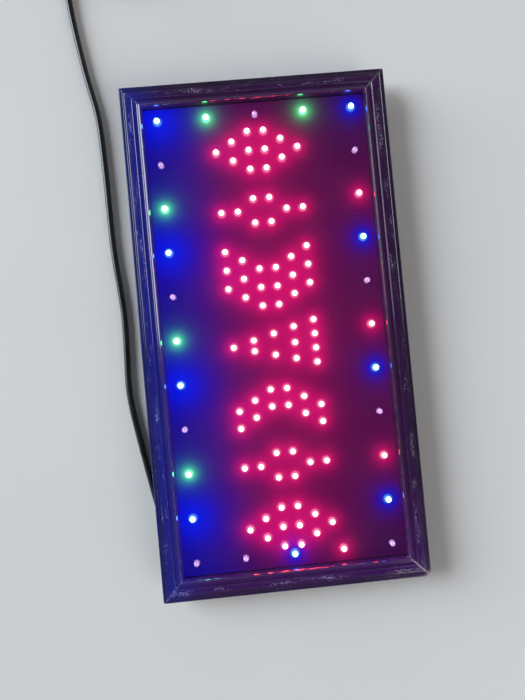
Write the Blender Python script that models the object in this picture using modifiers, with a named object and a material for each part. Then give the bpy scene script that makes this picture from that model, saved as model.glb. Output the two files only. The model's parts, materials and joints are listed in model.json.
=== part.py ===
"""Lighted advertising sign: a mitred moulding frame round a drilled face panel with lamp strings,
closed at the back by a shallow tray that holds the lamp driver, with two rocker switches in the
frame's right rail and a mains lead that ends in a flat two-pin plug.

The sign lies on its back, with the origin under its middle. X runs along its long side, Y runs
up its face and Z comes out of its face. All sizes are in metres.
"""

import math

import bmesh
import bpy
from mathutils import Matrix, Vector

# Overall size and the clearance that neighbouring pieces keep
SIGN_LENGTH = 0.480
SIGN_HEIGHT = 0.250
HALF_X = SIGN_LENGTH / 2
HALF_Y = SIGN_HEIGHT / 2
GAP = 0.0003

# Frame moulding: distance in from the outer edge, and height above the floor
RAIL_BACK = 0.0110
RABBET = 0.0167
LIP = 0.0210
LIP_BACK = 0.0193
RAIL_PROFILE = [
    (0.0, RAIL_BACK),
    (0.0, 0.0236),
    (0.0008, 0.0244),
    (0.0030, 0.0248),
    (0.0037, 0.0252),
    (0.0044, 0.0246),
    (0.0050, 0.0249),
    (0.0114, 0.0257),
    (0.0120, 0.0260),
    (0.0127, 0.0254),
    (0.0150, 0.0250),
    (0.0168, 0.0254),
    (0.0177, 0.0272),
    (0.0186, 0.0280),
    (0.0196, 0.0274),
    (0.0206, 0.0250),
    (LIP, 0.0225),
    (LIP, LIP_BACK),
    (RABBET, LIP_BACK),
    (RABBET, RAIL_BACK),
]
MITRE_GAP = 0.00022

# Half length of each rail, distance of its outer edge from the middle, and turn about Z in degrees
RAILS = {
    "frame_rail_bottom": (HALF_X, HALF_Y, 0),
    "frame_rail_right": (HALF_Y, HALF_X, 90),
    "frame_rail_top": (HALF_X, HALF_Y, 180),
    "frame_rail_left": (HALF_Y, HALF_X, 270),
}
# Which corners each rail reaches, as signs of X and Y
RAIL_CORNERS = {
    "frame_rail_bottom": [(-1, -1), (1, -1)],
    "frame_rail_right": [(1, -1), (1, 1)],
    "frame_rail_top": [(1, 1), (-1, 1)],
    "frame_rail_left": [(-1, 1), (-1, -1)],
}

# Wedges driven across the mitres from behind
WEDGE_INSET = 0.0055
WEDGE_ARM = 0.0080
WEDGE_THICKNESS = 0.0005
WEDGE_TOP = 0.0170

# Face panel
PANEL_EDGE = RABBET + GAP
PANEL_BOTTOM = 0.0170
PANEL_TOP = 0.0190

# Lamps: 5 mm domed lamps on lead wires
LAMP_SIDES = 6
LAMP_RADIUS = 0.0026
LAMP_BOTTOM = 0.0156
LAMP_SHOULDER = 0.0222
LAMP_TIP = 0.0242
LAMP_TIP_RADIUS = 0.0013
LEAD_RADIUS = 0.0006
LEG_RADIUS = 0.0005
FIGURE_ROW = 0.0154
FIGURE_MIDDLE = -0.0010
BORDER_X = 0.2075
BORDER_Y = 0.0920
BORDER_STEP_X = BORDER_X / 5
BORDER_STEP_Y = BORDER_Y / 2
# Height of each border string's wire, and how far it runs inside the line of lamps
BORDER_WIRES = {
    "border_lamps_blue": (0.0140, 0.0022),
    "border_lamps_green": (0.0124, -0.0022),
    "border_lamps_red": (0.0124, -0.0022),
    "border_lamps_spare": (0.0108, 0.0),
}

# Back tray
TRAY_EDGE = RABBET + GAP
TRAY_WALL = 0.0018
TRAY_TOP = PANEL_BOTTOM - GAP
FLANGE_EDGE = 0.0080
FLANGE_TOP = RAIL_BACK - GAP
FLANGE_THICKNESS = 0.0015
TRAY_X = HALF_X - TRAY_EDGE
TRAY_Y = HALF_Y - TRAY_EDGE
TRAY_CORNER = 0.0030

# Tray screws, through the flange into the rails
SCREW_INSET = 0.0125
SCREW_SPACING = 0.1700
SCREW_HEAD_RADIUS = 0.0030
SCREW_HEAD_HEIGHT = 0.0018
SCREW_RADIUS = 0.0014
SCREW_DEPTH = 0.0060

# Keyholes for hanging, and the vents behind the driver
KEYHOLE_X = 0.1500
KEYHOLE_Y = 0.0800
KEYHOLE_HEAD = 0.0044
KEYHOLE_SLOT = 0.0023
KEYHOLE_RUN = 0.0100
VENT_COUNT = 6
VENT_PITCH = 0.0080
VENT_SIZE = (0.0024, 0.0200)
VENT_MIDDLE = (0.1490, -0.0640)

# Driver board
BOARD_LOW = Vector((0.1050, -0.0840, 0.0053))
BOARD_HIGH = Vector((0.1930, -0.0440, 0.0069))
POST_INSET = 0.0050
POST_RADIUS = 0.0032
BOARD_SCREW_RADIUS = 0.0011
BOARD_SCREW_HEAD = 0.0024

# Lamp harness: a strip along the sign with a tooth up to each figure
HARNESS_X = (-0.1760, 0.1840)
HARNESS_Y = (-0.0490, -0.0450)
HARNESS_TOOTH = 0.0024
HARNESS_THICKNESS = 0.0008

# Leads inside the tray: from the cord's outlet to the terminal, from each switch to the board
LEAD_WIRE_RADIUS = 0.0008
LIVE_ROUTE = [
    (0.2085, -0.1032, 0.0049),
    (0.2080, -0.0960, 0.0045),
    (0.2030, -0.0850, 0.0045),
    (0.1975, -0.0745, 0.0070),
    (0.1904, -0.0670, 0.0100),
]
NEUTRAL_ROUTE = [
    (0.2135, -0.1032, 0.0049),
    (0.2135, -0.0920, 0.0045),
    (0.2090, -0.0780, 0.0045),
    (0.2000, -0.0665, 0.0075),
    (0.1904, -0.0620, 0.0100),
]
POWER_SWITCH_ROUTE = [
    (0.2238, -0.0660, 0.0149),
    (0.2180, -0.0662, 0.0120),
    (0.2120, -0.0690, 0.0084),
    (0.2040, -0.0730, 0.0095),
    (0.1930, -0.0745, 0.0100),
    (0.1810, -0.0750, 0.0082),
]
MODE_SWITCH_ROUTE = [
    (0.2238, -0.0400, 0.0149),
    (0.2180, -0.0402, 0.0120),
    (0.2110, -0.0430, 0.0084),
    (0.2020, -0.0480, 0.0084),
    (0.1930, -0.0535, 0.0095),
    (0.1810, -0.0540, 0.0082),
]

# Rocker switches in the right rail
SWITCH_Y = {"power": -0.0660, "mode": -0.0400}
SWITCH_Z = 0.0176
POCKET_DEPTH = 0.0034
BEZEL = Vector((0.0016, 0.0150, 0.0106))
SWITCH_BODY = Vector((0.0100, 0.0128, 0.0086))
ROCKER_CAVITY = Vector((0.0066, 0.0110, 0.0066))
ROCKER_PIVOT = 0.0037
ROCKER_TILT = math.radians(10.0)
ROCKER_HALF = 0.0044
ROCKER_WIDTH = 0.0060
PIVOT_RADIUS = 0.0009
PIVOT_REACH = 0.0041

# Mains lead: 6 mm round cord
CORD_RADIUS = 0.0030
CORD_FLOOR = 0.00305
OUTLET_LOW = Vector((0.2030, -0.1235, 0.0004))
OUTLET_HIGH = Vector((0.2190, -0.1083, 0.0086))
RELIEF_BASE = Vector((0.2017, -0.1160, 0.0044))
RELIEF_LENGTH = 0.0250
RELIEF_TURN = math.radians(12.0)
RELIEF_DROP = 0.024
RELIEF_RADII = (0.0041, 0.0034)
LEAD_ROUTE = [
    (0.1770, -0.1213, 0.0037),
    (0.1650, -0.1239, 0.0033),
    (0.1500, -0.1270, CORD_FLOOR),
    (0.1350, -0.1298, CORD_FLOOR),
    (0.1200, -0.1325, CORD_FLOOR),
    (0.1050, -0.1351, CORD_FLOOR),
    (0.0900, -0.1376, CORD_FLOOR),
    (0.0750, -0.1400, CORD_FLOOR),
    (0.0600, -0.1422, CORD_FLOOR),
    (0.0450, -0.1436, CORD_FLOOR),
    (0.0280, -0.1437, CORD_FLOOR),
    (0.0080, -0.1429, CORD_FLOOR),
    (-0.0120, -0.1424, CORD_FLOOR),
    (-0.0330, -0.1424, CORD_FLOOR),
    (-0.0550, -0.1438, CORD_FLOOR),
    (-0.0800, -0.1459, CORD_FLOOR),
    (-0.1050, -0.1472, CORD_FLOOR),
    (-0.1320, -0.1476, CORD_FLOOR),
    (-0.1600, -0.1479, CORD_FLOOR),
    (-0.1900, -0.1486, CORD_FLOOR),
    (-0.2120, -0.1495, CORD_FLOOR),
    (-0.2310, -0.1515, CORD_FLOOR),
    (-0.2500, -0.1553, CORD_FLOOR),
    (-0.2700, -0.1592, CORD_FLOOR),
    (-0.2900, -0.1623, CORD_FLOOR),
    (-0.3100, -0.1652, CORD_FLOOR),
    (-0.3300, -0.1677, CORD_FLOOR),
    (-0.3500, -0.1694, 0.0034),
    (-0.3733, -0.1700, 0.0040),
]
TUBE_STEP = 0.0110

# Coil of the length that is put away, its tie, and the plug beside it
COIL_MIDDLE = Vector((-0.3960, -0.1315, 0.0))
COIL_RADIUS = 0.0355
COIL_WIDTH = 0.0123
COIL_BOTTOM = 0.0011
COIL_TOP = 0.0134
TIE_WIDTH = 0.0050
TIE_THICKNESS = 0.0008
TIE_ANGLE = math.radians(225.0)
TAIL_ROUTE = [
    (-0.4345, -0.1088, 0.0086),
    (-0.4346, -0.1000, 0.0069),
    (-0.4346, -0.0920, 0.0062),
    (-0.4345, -0.0840, 0.0064),
    (-0.4345, -0.0770, 0.0068),
]
PLUG_MIDDLE_X = -0.4345
PLUG_AXIS_Z = 0.0068
PLUG_RELIEF_Y = -0.0767
PLUG_RELIEF_LENGTH = 0.0220
PLUG_LENGTH = 0.0350
PLUG_THICKNESS = 0.0130
PIN_LENGTH = 0.0190
PIN_RADIUS = 0.0020
PIN_SPACING = 0.0186


def new_collection(name):
    """A collection linked to the scene."""
    collection = bpy.data.collections.new(name)
    bpy.context.scene.collection.children.link(collection)
    return collection


def new_material(name, colour, roughness, metallic=0.0):
    """A Principled material."""
    made = bpy.data.materials.new(name)
    made.use_nodes = True
    shader = made.node_tree.nodes["Principled BSDF"]
    shader.inputs["Base Color"].default_value = (*colour, 1.0)
    shader.inputs["Roughness"].default_value = roughness
    shader.inputs["Metallic"].default_value = metallic
    return made


def finish_mesh(name, bm, material, collection=None):
    """Turns a bmesh into an object of the model."""
    bmesh.ops.recalc_face_normals(bm, faces=bm.faces)
    mesh = bpy.data.meshes.new(name)
    bm.to_mesh(mesh)
    bm.free()
    return place_mesh(name, mesh, material, collection)


def place_mesh(name, mesh, material, collection=None):
    """An object for a mesh, with its material."""
    if material:
        mesh.materials.clear()
        mesh.materials.append(material)
    made = bpy.data.objects.new(name, mesh)
    (collection or PARTS).objects.link(made)
    return made


def as_tool(made):
    """Marks an object as a cutter or a joined-on form, which isn't a piece itself."""
    made.hide_render = True
    made.display_type = "WIRE"
    return made


def boolean(target, operation, tool):
    """Adds an exact Boolean with a tool object."""
    modifier = target.modifiers.new(operation.lower(), "BOOLEAN")
    modifier.operation = operation
    modifier.solver = "EXACT"
    modifier.object = as_tool(tool)
    return target


def add_box(bm, low, high, turn=None):
    """A box between two corners, in a bmesh."""
    low, high = Vector(low), Vector(high)
    size = high - low
    move = Matrix.Translation((low + high) / 2) @ Matrix.Diagonal((*size, 1.0))
    made = bmesh.ops.create_cube(bm, size=1.0, matrix=move)
    if turn:
        bmesh.ops.transform(bm, matrix=turn, verts=made["verts"])
    return made["verts"]


def box(name, low, high, material, collection=None):
    """A box between two corners, as an object."""
    bm = bmesh.new()
    add_box(bm, low, high)
    return finish_mesh(name, bm, material, collection)


def add_cone(bm, start, end, radius_1, radius_2, sides, spin=0.0):
    """A capped cylinder or cone between two points, in a bmesh."""
    start, end = Vector(start), Vector(end)
    along = end - start
    turn = Vector((0, 0, 1)).rotation_difference(along).to_matrix().to_4x4()
    move = Matrix.Translation((start + end) / 2) @ turn @ Matrix.Rotation(spin, 4, "Z")
    made = bmesh.ops.create_cone(
        bm,
        cap_ends=True,
        segments=sides,
        radius1=radius_1,
        radius2=radius_2,
        depth=along.length,
        matrix=move,
    )
    return made["verts"]


def cylinder(name, start, end, radius, material, sides=12, collection=None):
    """A cylinder between two points, as an object."""
    bm = bmesh.new()
    add_cone(bm, start, end, radius, radius, sides)
    return finish_mesh(name, bm, material, collection)


def curve_to_mesh(curve_object):
    """Replaces a curve object by its welded mesh."""
    graph = bpy.context.evaluated_depsgraph_get()
    mesh = bpy.data.meshes.new_from_object(curve_object.evaluated_get(graph))
    bm = bmesh.new()
    bm.from_mesh(mesh)
    bmesh.ops.remove_doubles(bm, verts=bm.verts, dist=1e-6)
    bmesh.ops.recalc_face_normals(bm, faces=bm.faces)
    bm.to_mesh(mesh)
    bm.free()
    bpy.data.objects.remove(curve_object)
    return mesh


def flat_solid(loops, thickness):
    """The mesh of flat outlines extruded by thickness, centred on the XY plane."""
    curve = bpy.data.curves.new("outline", "CURVE")
    curve.dimensions = "2D"
    curve.fill_mode = "BOTH"
    curve.extrude = thickness / 2
    for loop in loops:
        spline = curve.splines.new("POLY")
        spline.points.add(len(loop) - 1)
        for point, place in zip(spline.points, loop):
            point.co = (place[0], place[1], 0.0, 1.0)
        spline.use_cyclic_u = True
    holder = bpy.data.objects.new("outline", curve)
    TOOLS.objects.link(holder)
    bpy.context.view_layer.update()
    return curve_to_mesh(holder)


def rounded_rectangle(half_x, half_y, radius, steps=2):
    """Points round a rectangle with rounded corners, anticlockwise."""
    points = []
    for corner, (sx, sy) in enumerate([(1, 1), (-1, 1), (-1, -1), (1, -1)]):
        for step in range(steps + 1):
            angle = math.radians(90 * corner + 90 * step / steps)
            x = sx * (half_x - radius) + radius * math.cos(angle)
            y = sy * (half_y - radius) + radius * math.sin(angle)
            points.append((x, y))
    return points


def smooth_path(route, step):
    """Points spaced evenly along a smooth curve through the route's points."""
    knots = [Vector(p) for p in route]
    ends = [2 * knots[0] - knots[1], *knots, 2 * knots[-1] - knots[-2]]
    fine = []
    for a, b, c, d in zip(ends, ends[1:], ends[2:], ends[3:]):
        for part in range(16):
            t = part / 16
            fine.append(
                0.5
                * (
                    2 * b
                    + (c - a) * t
                    + (2 * a - 5 * b + 4 * c - d) * t * t
                    + (3 * b - a - 3 * c + d) * t * t * t
                )
            )
    fine.append(knots[-1])
    runs = [(q - p).length for p, q in zip(fine, fine[1:])]
    count = max(2, round(sum(runs) / step))
    spacing = sum(runs) / count
    points, walked, index = [fine[0]], 0.0, 0
    for number in range(1, count):
        while walked + runs[index] < number * spacing:
            walked += runs[index]
            index += 1
        share = (number * spacing - walked) / runs[index]
        points.append(fine[index].lerp(fine[index + 1], share))
    return [*points, fine[-1]]


def wire_curve(name, points, radius, resolution, material, collection=None):
    """A round wire along points, as a curve object with filled caps."""
    curve = bpy.data.curves.new(name, "CURVE")
    curve.dimensions = "3D"
    curve.bevel_depth = radius
    curve.bevel_resolution = resolution
    curve.use_fill_caps = True
    spline = curve.splines.new("POLY")
    spline.points.add(len(points) - 1)
    for point, place in zip(spline.points, points):
        point.co = (*place, 1.0)
    if material:
        curve.materials.append(material)
    made = bpy.data.objects.new(name, curve)
    (collection or PARTS).objects.link(made)
    return made


def lamp_places():
    """Where each lamp stands, by lamp string: red figures on the face, then the border."""
    places = {}

    def rows(middle_x, offsets_by_row):
        found = []
        for row, offsets in enumerate(offsets_by_row):
            height = FIGURE_MIDDLE + (row - 2.5) * FIGURE_ROW
            found += [(middle_x + offset, height) for offset in offsets]
        return found

    slope = (0.0, 0.009, 0.018, 0.018, 0.009, 0.0)

    def diamond(middle_x):
        sides = [(0.0,), (-0.009, 0.009), (0.018, 0.0, -0.018)]
        return rows(middle_x, [*sides, (-0.018, 0.0, 0.018), (0.009, -0.009), (0.0,)])

    def star(middle_x):
        arm = 0.0115
        return rows(middle_x, [(0.0,), (0.0,), (-arm, arm), (arm, -arm), (0.0,), (0.0,)])

    def chevrons(middle_x, count, pitch, way):
        found = []
        for number in range(count):
            back = middle_x + way * ((number - (count - 1) / 2) * pitch - slope[2] / 2)
            column = rows(back, [(way * offset,) for offset in slope])
            found += column if number % 2 == 0 else column[::-1]
        return found

    def triangle(middle_x):
        half, tall, steps = 0.020, 5 * FIGURE_ROW, 4
        top = FIGURE_MIDDLE + tall / 2
        right = [
            (middle_x + half * (1 - k / steps), top - tall * k / steps)
            for k in range(steps + 1)
        ]
        left = [(2 * middle_x - x, y) for x, y in right[-2::-1]]
        crown = [(middle_x - half / 3, top), (middle_x + half / 3, top)]
        return [*right, *left, *crown, (middle_x, top - tall / steps)]

    places["diamond_lamps_left"] = diamond(-0.1735)
    places["star_lamps_left"] = star(-0.1160)
    places["chevron_lamps_left"] = chevrons(-0.0525, 3, 0.0175, 1)
    places["triangle_lamps"] = triangle(0.0110)
    places["chevron_lamps_right"] = chevrons(0.0700, 2, 0.0160, -1)
    places["star_lamps_right"] = star(0.1240)
    places["diamond_lamps_right"] = diamond(0.1815)

    def along_x(start, y):
        numbers = range(start, 11, 3)
        return [(-BORDER_X + number * BORDER_STEP_X, y) for number in numbers]

    places["border_lamps_blue"] = [
        *along_x(0, -BORDER_Y)[::-1],
        *along_x(0, BORDER_Y),
        (BORDER_X, 0.0),
    ]
    places["border_lamps_green"] = [
        *along_x(2, -BORDER_Y)[::-1],
        (-BORDER_X, -BORDER_STEP_Y),
        (-BORDER_X, BORDER_STEP_Y),
    ]
    places["border_lamps_red"] = [*along_x(2, BORDER_Y), (BORDER_X, BORDER_STEP_Y)]
    places["border_lamps_spare"] = [
        (BORDER_X, -BORDER_STEP_Y),
        *along_x(1, -BORDER_Y)[::-1],
        (-BORDER_X, 0.0),
        *along_x(1, BORDER_Y),
    ]
    return places


def build_rails():
    """Four mitred mouldings, each with its pilot holes, wedge slots and, on the right, pockets."""
    for name, (half_length, offset, degrees) in RAILS.items():
        mesh = flat_solid([RAIL_PROFILE], 2 * half_length)
        for vertex in mesh.vertices:
            inset, height, along = vertex.co
            run = half_length - inset - MITRE_GAP
            vertex.co = (math.copysign(run, along), inset - offset, height)
        mesh.transform(Matrix.Rotation(math.radians(degrees), 4, "Z"))
        bm = bmesh.new()
        bm.from_mesh(mesh)
        rail = finish_mesh(name, bm, RAIL_BLACK)
        boolean(rail, "DIFFERENCE", rail_holes(name))
        if name == "frame_rail_right":
            for tool in switch_pockets():
                boolean(rail, "DIFFERENCE", tool)


def screw_places():
    """Tray screws: rail name, x and y."""
    x, y = HALF_X - SCREW_INSET, HALF_Y - SCREW_INSET
    places = [("frame_rail_right", x, 0.0), ("frame_rail_left", -x, 0.0)]
    for offset in (-SCREW_SPACING, 0.0, SCREW_SPACING):
        places.append(("frame_rail_bottom", offset, -y))
        places.append(("frame_rail_top", offset, y))
    return places


def add_wedge(bm, sx, sy, thickness, bottom, top):
    """An upright L of two thin arms, at the corner on sides sx and sy."""
    x, y = HALF_X - WEDGE_INSET, HALF_Y - WEDGE_INSET
    half = thickness / 2
    reach = WEDGE_ARM + half
    outline = [
        (x + half, y + half),
        (x - reach, y + half),
        (x - reach, y - half),
        (x - half, y - half),
        (x - half, y - reach),
        (x + half, y - reach),
    ]
    mesh = flat_solid([[(sx * px, sy * py) for px, py in outline]], top - bottom)
    mesh.transform(Matrix.Translation((0, 0, (top + bottom) / 2)))
    bm.from_mesh(mesh)
    bpy.data.meshes.remove(mesh)


def rail_holes(rail):
    """Screw pilots and wedge slots of one rail, open at its back."""
    bm = bmesh.new()
    for name, x, y in screw_places():
        if name == rail:
            low = (x, y, RAIL_BACK - 0.002)
            high = (x, y, RAIL_BACK + SCREW_DEPTH + 2 * GAP)
            add_cone(bm, low, high, SCREW_RADIUS + GAP, SCREW_RADIUS + GAP, 8)
    for sx, sy in RAIL_CORNERS[rail]:
        slot = WEDGE_THICKNESS + 2 * GAP
        add_wedge(bm, sx, sy, slot, RAIL_BACK - 0.001, WEDGE_TOP + GAP)
    return finish_mesh(rail + "_holes", bm, None, TOOLS)


def switch_pockets():
    """Cutters for the right rail: recess for each bezel, bore for each body, hole for its wires."""
    face = HALF_X - POCKET_DEPTH
    steps = {
        "recess": (face, HALF_X + 0.002, BEZEL.y / 2 + GAP, -BEZEL.z / 2 - GAP, BEZEL.z / 2 + GAP),
        "bore": (
            HALF_X - RABBET + 0.0008,
            face + 0.0005,
            SWITCH_BODY.y / 2 + GAP,
            -SWITCH_BODY.z / 2 - GAP,
            SWITCH_BODY.z / 2 + GAP,
        ),
        "wire_hole": (HALF_X - RABBET - 0.0005, HALF_X - RABBET + 0.0014, 0.0030, -0.0041, -0.0012),
    }
    tools = []
    for step, (x_low, x_high, half_y, z_low, z_high) in steps.items():
        bm = bmesh.new()
        for y in SWITCH_Y.values():
            low = (x_low, y - half_y, SWITCH_Z + z_low)
            add_box(bm, low, (x_high, y + half_y, SWITCH_Z + z_high))
        tools.append(finish_mesh("switch_" + step, bm, None, TOOLS))
    return tools


def build_wedges():
    """One wedge across each mitre."""
    for number, (sx, sy) in enumerate([(1, 1), (-1, 1), (-1, -1), (1, -1)], 1):
        bm = bmesh.new()
        add_wedge(bm, sx, sy, WEDGE_THICKNESS, RAIL_BACK, WEDGE_TOP)
        finish_mesh(f"mitre_wedge_{number}", bm, STEEL)


def build_panel(places):
    """The face panel, with a hole for every lamp."""
    half_x, half_y = HALF_X - PANEL_EDGE, HALF_Y - PANEL_EDGE
    loops = [[(half_x, half_y), (-half_x, half_y), (-half_x, -half_y), (half_x, -half_y)]]
    hole = LAMP_RADIUS + GAP + 0.00005
    for string in places.values():
        for x, y in string:
            angles = [math.tau * k / LAMP_SIDES for k in range(LAMP_SIDES)]
            loops.append([(x + hole * math.cos(a), y + hole * math.sin(a)) for a in angles])
    mesh = flat_solid(loops, PANEL_TOP - PANEL_BOTTOM)
    mesh.transform(Matrix.Translation((0, 0, (PANEL_TOP + PANEL_BOTTOM) / 2)))
    place_mesh("front_panel", mesh, PANEL_BLACK)


def add_lamp(bm, x, y):
    """A domed lamp: a short prism with its top drawn in."""
    low, high = (x, y, LAMP_BOTTOM), (x, y, LAMP_SHOULDER)
    verts = add_cone(bm, low, high, LAMP_RADIUS, LAMP_RADIUS, LAMP_SIDES, math.radians(90))
    faces = {face for vert in verts for face in vert.link_faces}
    top = max(faces, key=lambda face: face.calc_center_median().z)
    made = bmesh.ops.extrude_discrete_faces(bm, faces=[top])
    for vert in made["faces"][0].verts:
        vert.co.x = x + (vert.co.x - x) * LAMP_TIP_RADIUS / LAMP_RADIUS
        vert.co.y = y + (vert.co.y - y) * LAMP_TIP_RADIUS / LAMP_RADIUS
        vert.co.z = LAMP_TIP


def build_lamp_string(name, string, material):
    """Lamps joined by their lead wires, as one piece."""
    bm = bmesh.new()
    for x, y in string:
        add_lamp(bm, x, y)
    lamps = finish_mesh(name, bm, material)
    height, inside = BORDER_WIRES.get(name, (LAMP_BOTTOM, 0.0))
    feet = []
    for x, y in string:
        foot_x = x - inside * math.copysign(1.0, x) if abs(x) > BORDER_X - 0.001 else x
        foot_y = y - inside * math.copysign(1.0, y) if abs(y) > BORDER_Y - 0.001 else y
        feet.append(Vector((foot_x, foot_y, height)))
    if height < LAMP_BOTTOM:
        legs = bmesh.new()
        for (x, y), foot in zip(string, feet):
            start = Vector((x, y, LAMP_BOTTOM + 0.0004))
            end = foot - (start - foot).normalized() * 0.0001
            add_cone(legs, start, end, LEG_RADIUS, LEG_RADIUS, 4, math.radians(20))
        boolean(lamps, "UNION", finish_mesh(name + "_legs", legs, None, TOOLS))
    wire = wire_curve(name + "_wire", feet, LEAD_RADIUS, 0, None, TOOLS)
    bpy.context.view_layer.update()
    boolean(lamps, "UNION", place_mesh(name + "_wire", curve_to_mesh(wire), None, TOOLS))


def build_tray():
    """The pan that closes the back: walls up to the panel, a flange under the rails, board posts."""
    mesh = flat_solid([rounded_rectangle(TRAY_X, TRAY_Y, TRAY_CORNER)], TRAY_TOP)
    mesh.transform(Matrix.Translation((0, 0, TRAY_TOP / 2)))
    tray = place_mesh("back_tray", mesh, TRAY_BLACK)

    bm = bmesh.new()
    add_box(
        bm,
        (TRAY_WALL - TRAY_X, TRAY_WALL - TRAY_Y, TRAY_WALL),
        (TRAY_X - TRAY_WALL, TRAY_Y - TRAY_WALL, TRAY_TOP + 0.002),
    )
    boolean(tray, "DIFFERENCE", finish_mesh("tray_inside", bm, None, TOOLS))

    outer = rounded_rectangle(HALF_X - FLANGE_EDGE, HALF_Y - FLANGE_EDGE, 2 * TRAY_CORNER)
    inner = rounded_rectangle(TRAY_X - TRAY_WALL / 2, TRAY_Y - TRAY_WALL / 2, TRAY_CORNER / 2)
    flange = flat_solid([outer, inner], FLANGE_THICKNESS)
    flange.transform(Matrix.Translation((0, 0, FLANGE_TOP - FLANGE_THICKNESS / 2)))
    boolean(tray, "UNION", place_mesh("tray_flange", flange, None, TOOLS))

    bm = bmesh.new()
    for x, y in board_corners():
        top = (x, y, BOARD_LOW.z - GAP)
        add_cone(bm, (x, y, TRAY_WALL - 0.0006), top, POST_RADIUS, POST_RADIUS, 8)
    boolean(tray, "UNION", finish_mesh("tray_posts", bm, None, TOOLS))
    boolean(tray, "DIFFERENCE", tray_holes())
    boolean(tray, "DIFFERENCE", keyhole_slots())


def board_corners():
    """Where the board's four screws stand."""
    return [
        (x, y)
        for x in (BOARD_LOW.x + POST_INSET, BOARD_HIGH.x - POST_INSET)
        for y in (BOARD_LOW.y + POST_INSET, BOARD_HIGH.y - POST_INSET)
    ]


def tray_holes():
    """Screw holes, post bores, vents, the cord's opening and the switch wires' notches."""
    bm = bmesh.new()
    for _, x, y in screw_places():
        radius = SCREW_RADIUS + GAP
        low = (x, y, FLANGE_TOP - FLANGE_THICKNESS - 0.001)
        add_cone(bm, low, (x, y, FLANGE_TOP + 0.001), radius, radius, 8)
    for x, y in board_corners():
        radius = BOARD_SCREW_RADIUS + GAP
        add_cone(bm, (x, y, TRAY_WALL + 0.0004), (x, y, BOARD_LOW.z), radius, radius, 8)
    for number in range(VENT_COUNT):
        x = VENT_MIDDLE[0] + (number - (VENT_COUNT - 1) / 2) * VENT_PITCH
        half_x, half_y = VENT_SIZE[0] / 2, VENT_SIZE[1] / 2
        low = (x - half_x, VENT_MIDDLE[1] - half_y, -0.001)
        add_box(bm, low, (x + half_x, VENT_MIDDLE[1] + half_y, TRAY_WALL + 0.001))
    middle_x = (OUTLET_LOW.x + OUTLET_HIGH.x) / 2
    low = (middle_x - 0.0050, -TRAY_Y - 0.001, 0.0024)
    add_box(bm, low, (middle_x + 0.0050, TRAY_WALL - TRAY_Y + 0.0006, 0.0074))
    for y in SWITCH_Y.values():
        low = (TRAY_X - TRAY_WALL - 0.001, y - 0.0034, SWITCH_Z - 0.0048)
        add_box(bm, low, (TRAY_X + 0.001, y + 0.0034, TRAY_TOP + 0.001))
    return finish_mesh("tray_holes", bm, None, TOOLS)


def keyhole_slots():
    """Two keyholes in the back: a round hole for the screw head, and a slot up from it."""
    outline = []
    start = math.asin(KEYHOLE_SLOT / KEYHOLE_HEAD)
    for step in range(11):
        angle = math.pi / 2 + start + (math.tau - 2 * start) * step / 10
        outline.append((KEYHOLE_HEAD * math.cos(angle), KEYHOLE_HEAD * math.sin(angle)))
    for step in range(5):
        angle = math.pi * step / 4
        outline.append(
            (KEYHOLE_SLOT * math.cos(angle), KEYHOLE_RUN + KEYHOLE_SLOT * math.sin(angle))
        )
    bm = bmesh.new()
    for side in (-1, 1):
        mesh = flat_solid([[(side * KEYHOLE_X + x, KEYHOLE_Y + y) for x, y in outline]], 0.006)
        bm.from_mesh(mesh)
        bpy.data.meshes.remove(mesh)
    return finish_mesh("keyhole_slots", bm, None, TOOLS)


def turned(name, profile, steps, material, place=(0, 0, 0), upside_down=False):
    """A turned piece: a profile of (radius, height) points, top to bottom, spun round Z."""
    mesh = bpy.data.meshes.new(name)
    points = [(radius, 0.0, height) for radius, height in profile]
    edges = [(k, k + 1) for k in range(len(points) - 1)]
    if profile[0][0] > 0:
        edges.append((len(points) - 1, 0))
    mesh.from_pydata(points, edges, [])
    made = place_mesh(name, mesh, material)
    spin = made.modifiers.new("spin", "SCREW")
    spin.steps = spin.render_steps = steps
    spin.use_merge_vertices = True
    spin.merge_threshold = 0.00001
    made.location = place
    if upside_down:
        made.rotation_euler.x = math.pi
    return made


def build_screws():
    """Pan-head screws: eight up through the tray's flange, four down into the board's posts."""
    bottom = FLANGE_TOP - FLANGE_THICKNESS - GAP - SCREW_HEAD_HEIGHT
    head, length = SCREW_HEAD_HEIGHT, RAIL_BACK + SCREW_DEPTH - bottom
    profile = [
        (0.0, length),
        (SCREW_RADIUS, length - 0.0018),
        (SCREW_RADIUS, head),
        (SCREW_HEAD_RADIUS, head),
        (SCREW_HEAD_RADIUS, 0.0006),
        (0.7 * SCREW_HEAD_RADIUS, 0.0),
        (0.0, 0.0),
    ]
    for number, (_, x, y) in enumerate(screw_places(), 1):
        turned(f"tray_screw_{number}", profile, 8, STEEL, (x, y, bottom))
    seat = BOARD_HIGH.z + GAP
    profile = [
        (0.0, 0.0014),
        (0.7 * BOARD_SCREW_HEAD, 0.0014),
        (BOARD_SCREW_HEAD, 0.0009),
        (BOARD_SCREW_HEAD, 0.0),
        (BOARD_SCREW_RADIUS, 0.0),
        (BOARD_SCREW_RADIUS, TRAY_WALL + 0.0016 - seat),
        (0.0, TRAY_WALL + 0.0008 - seat),
    ]
    for number, (x, y) in enumerate(board_corners(), 1):
        turned(f"board_screw_{number}", profile, 8, STEEL, (x, y, seat))


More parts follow.
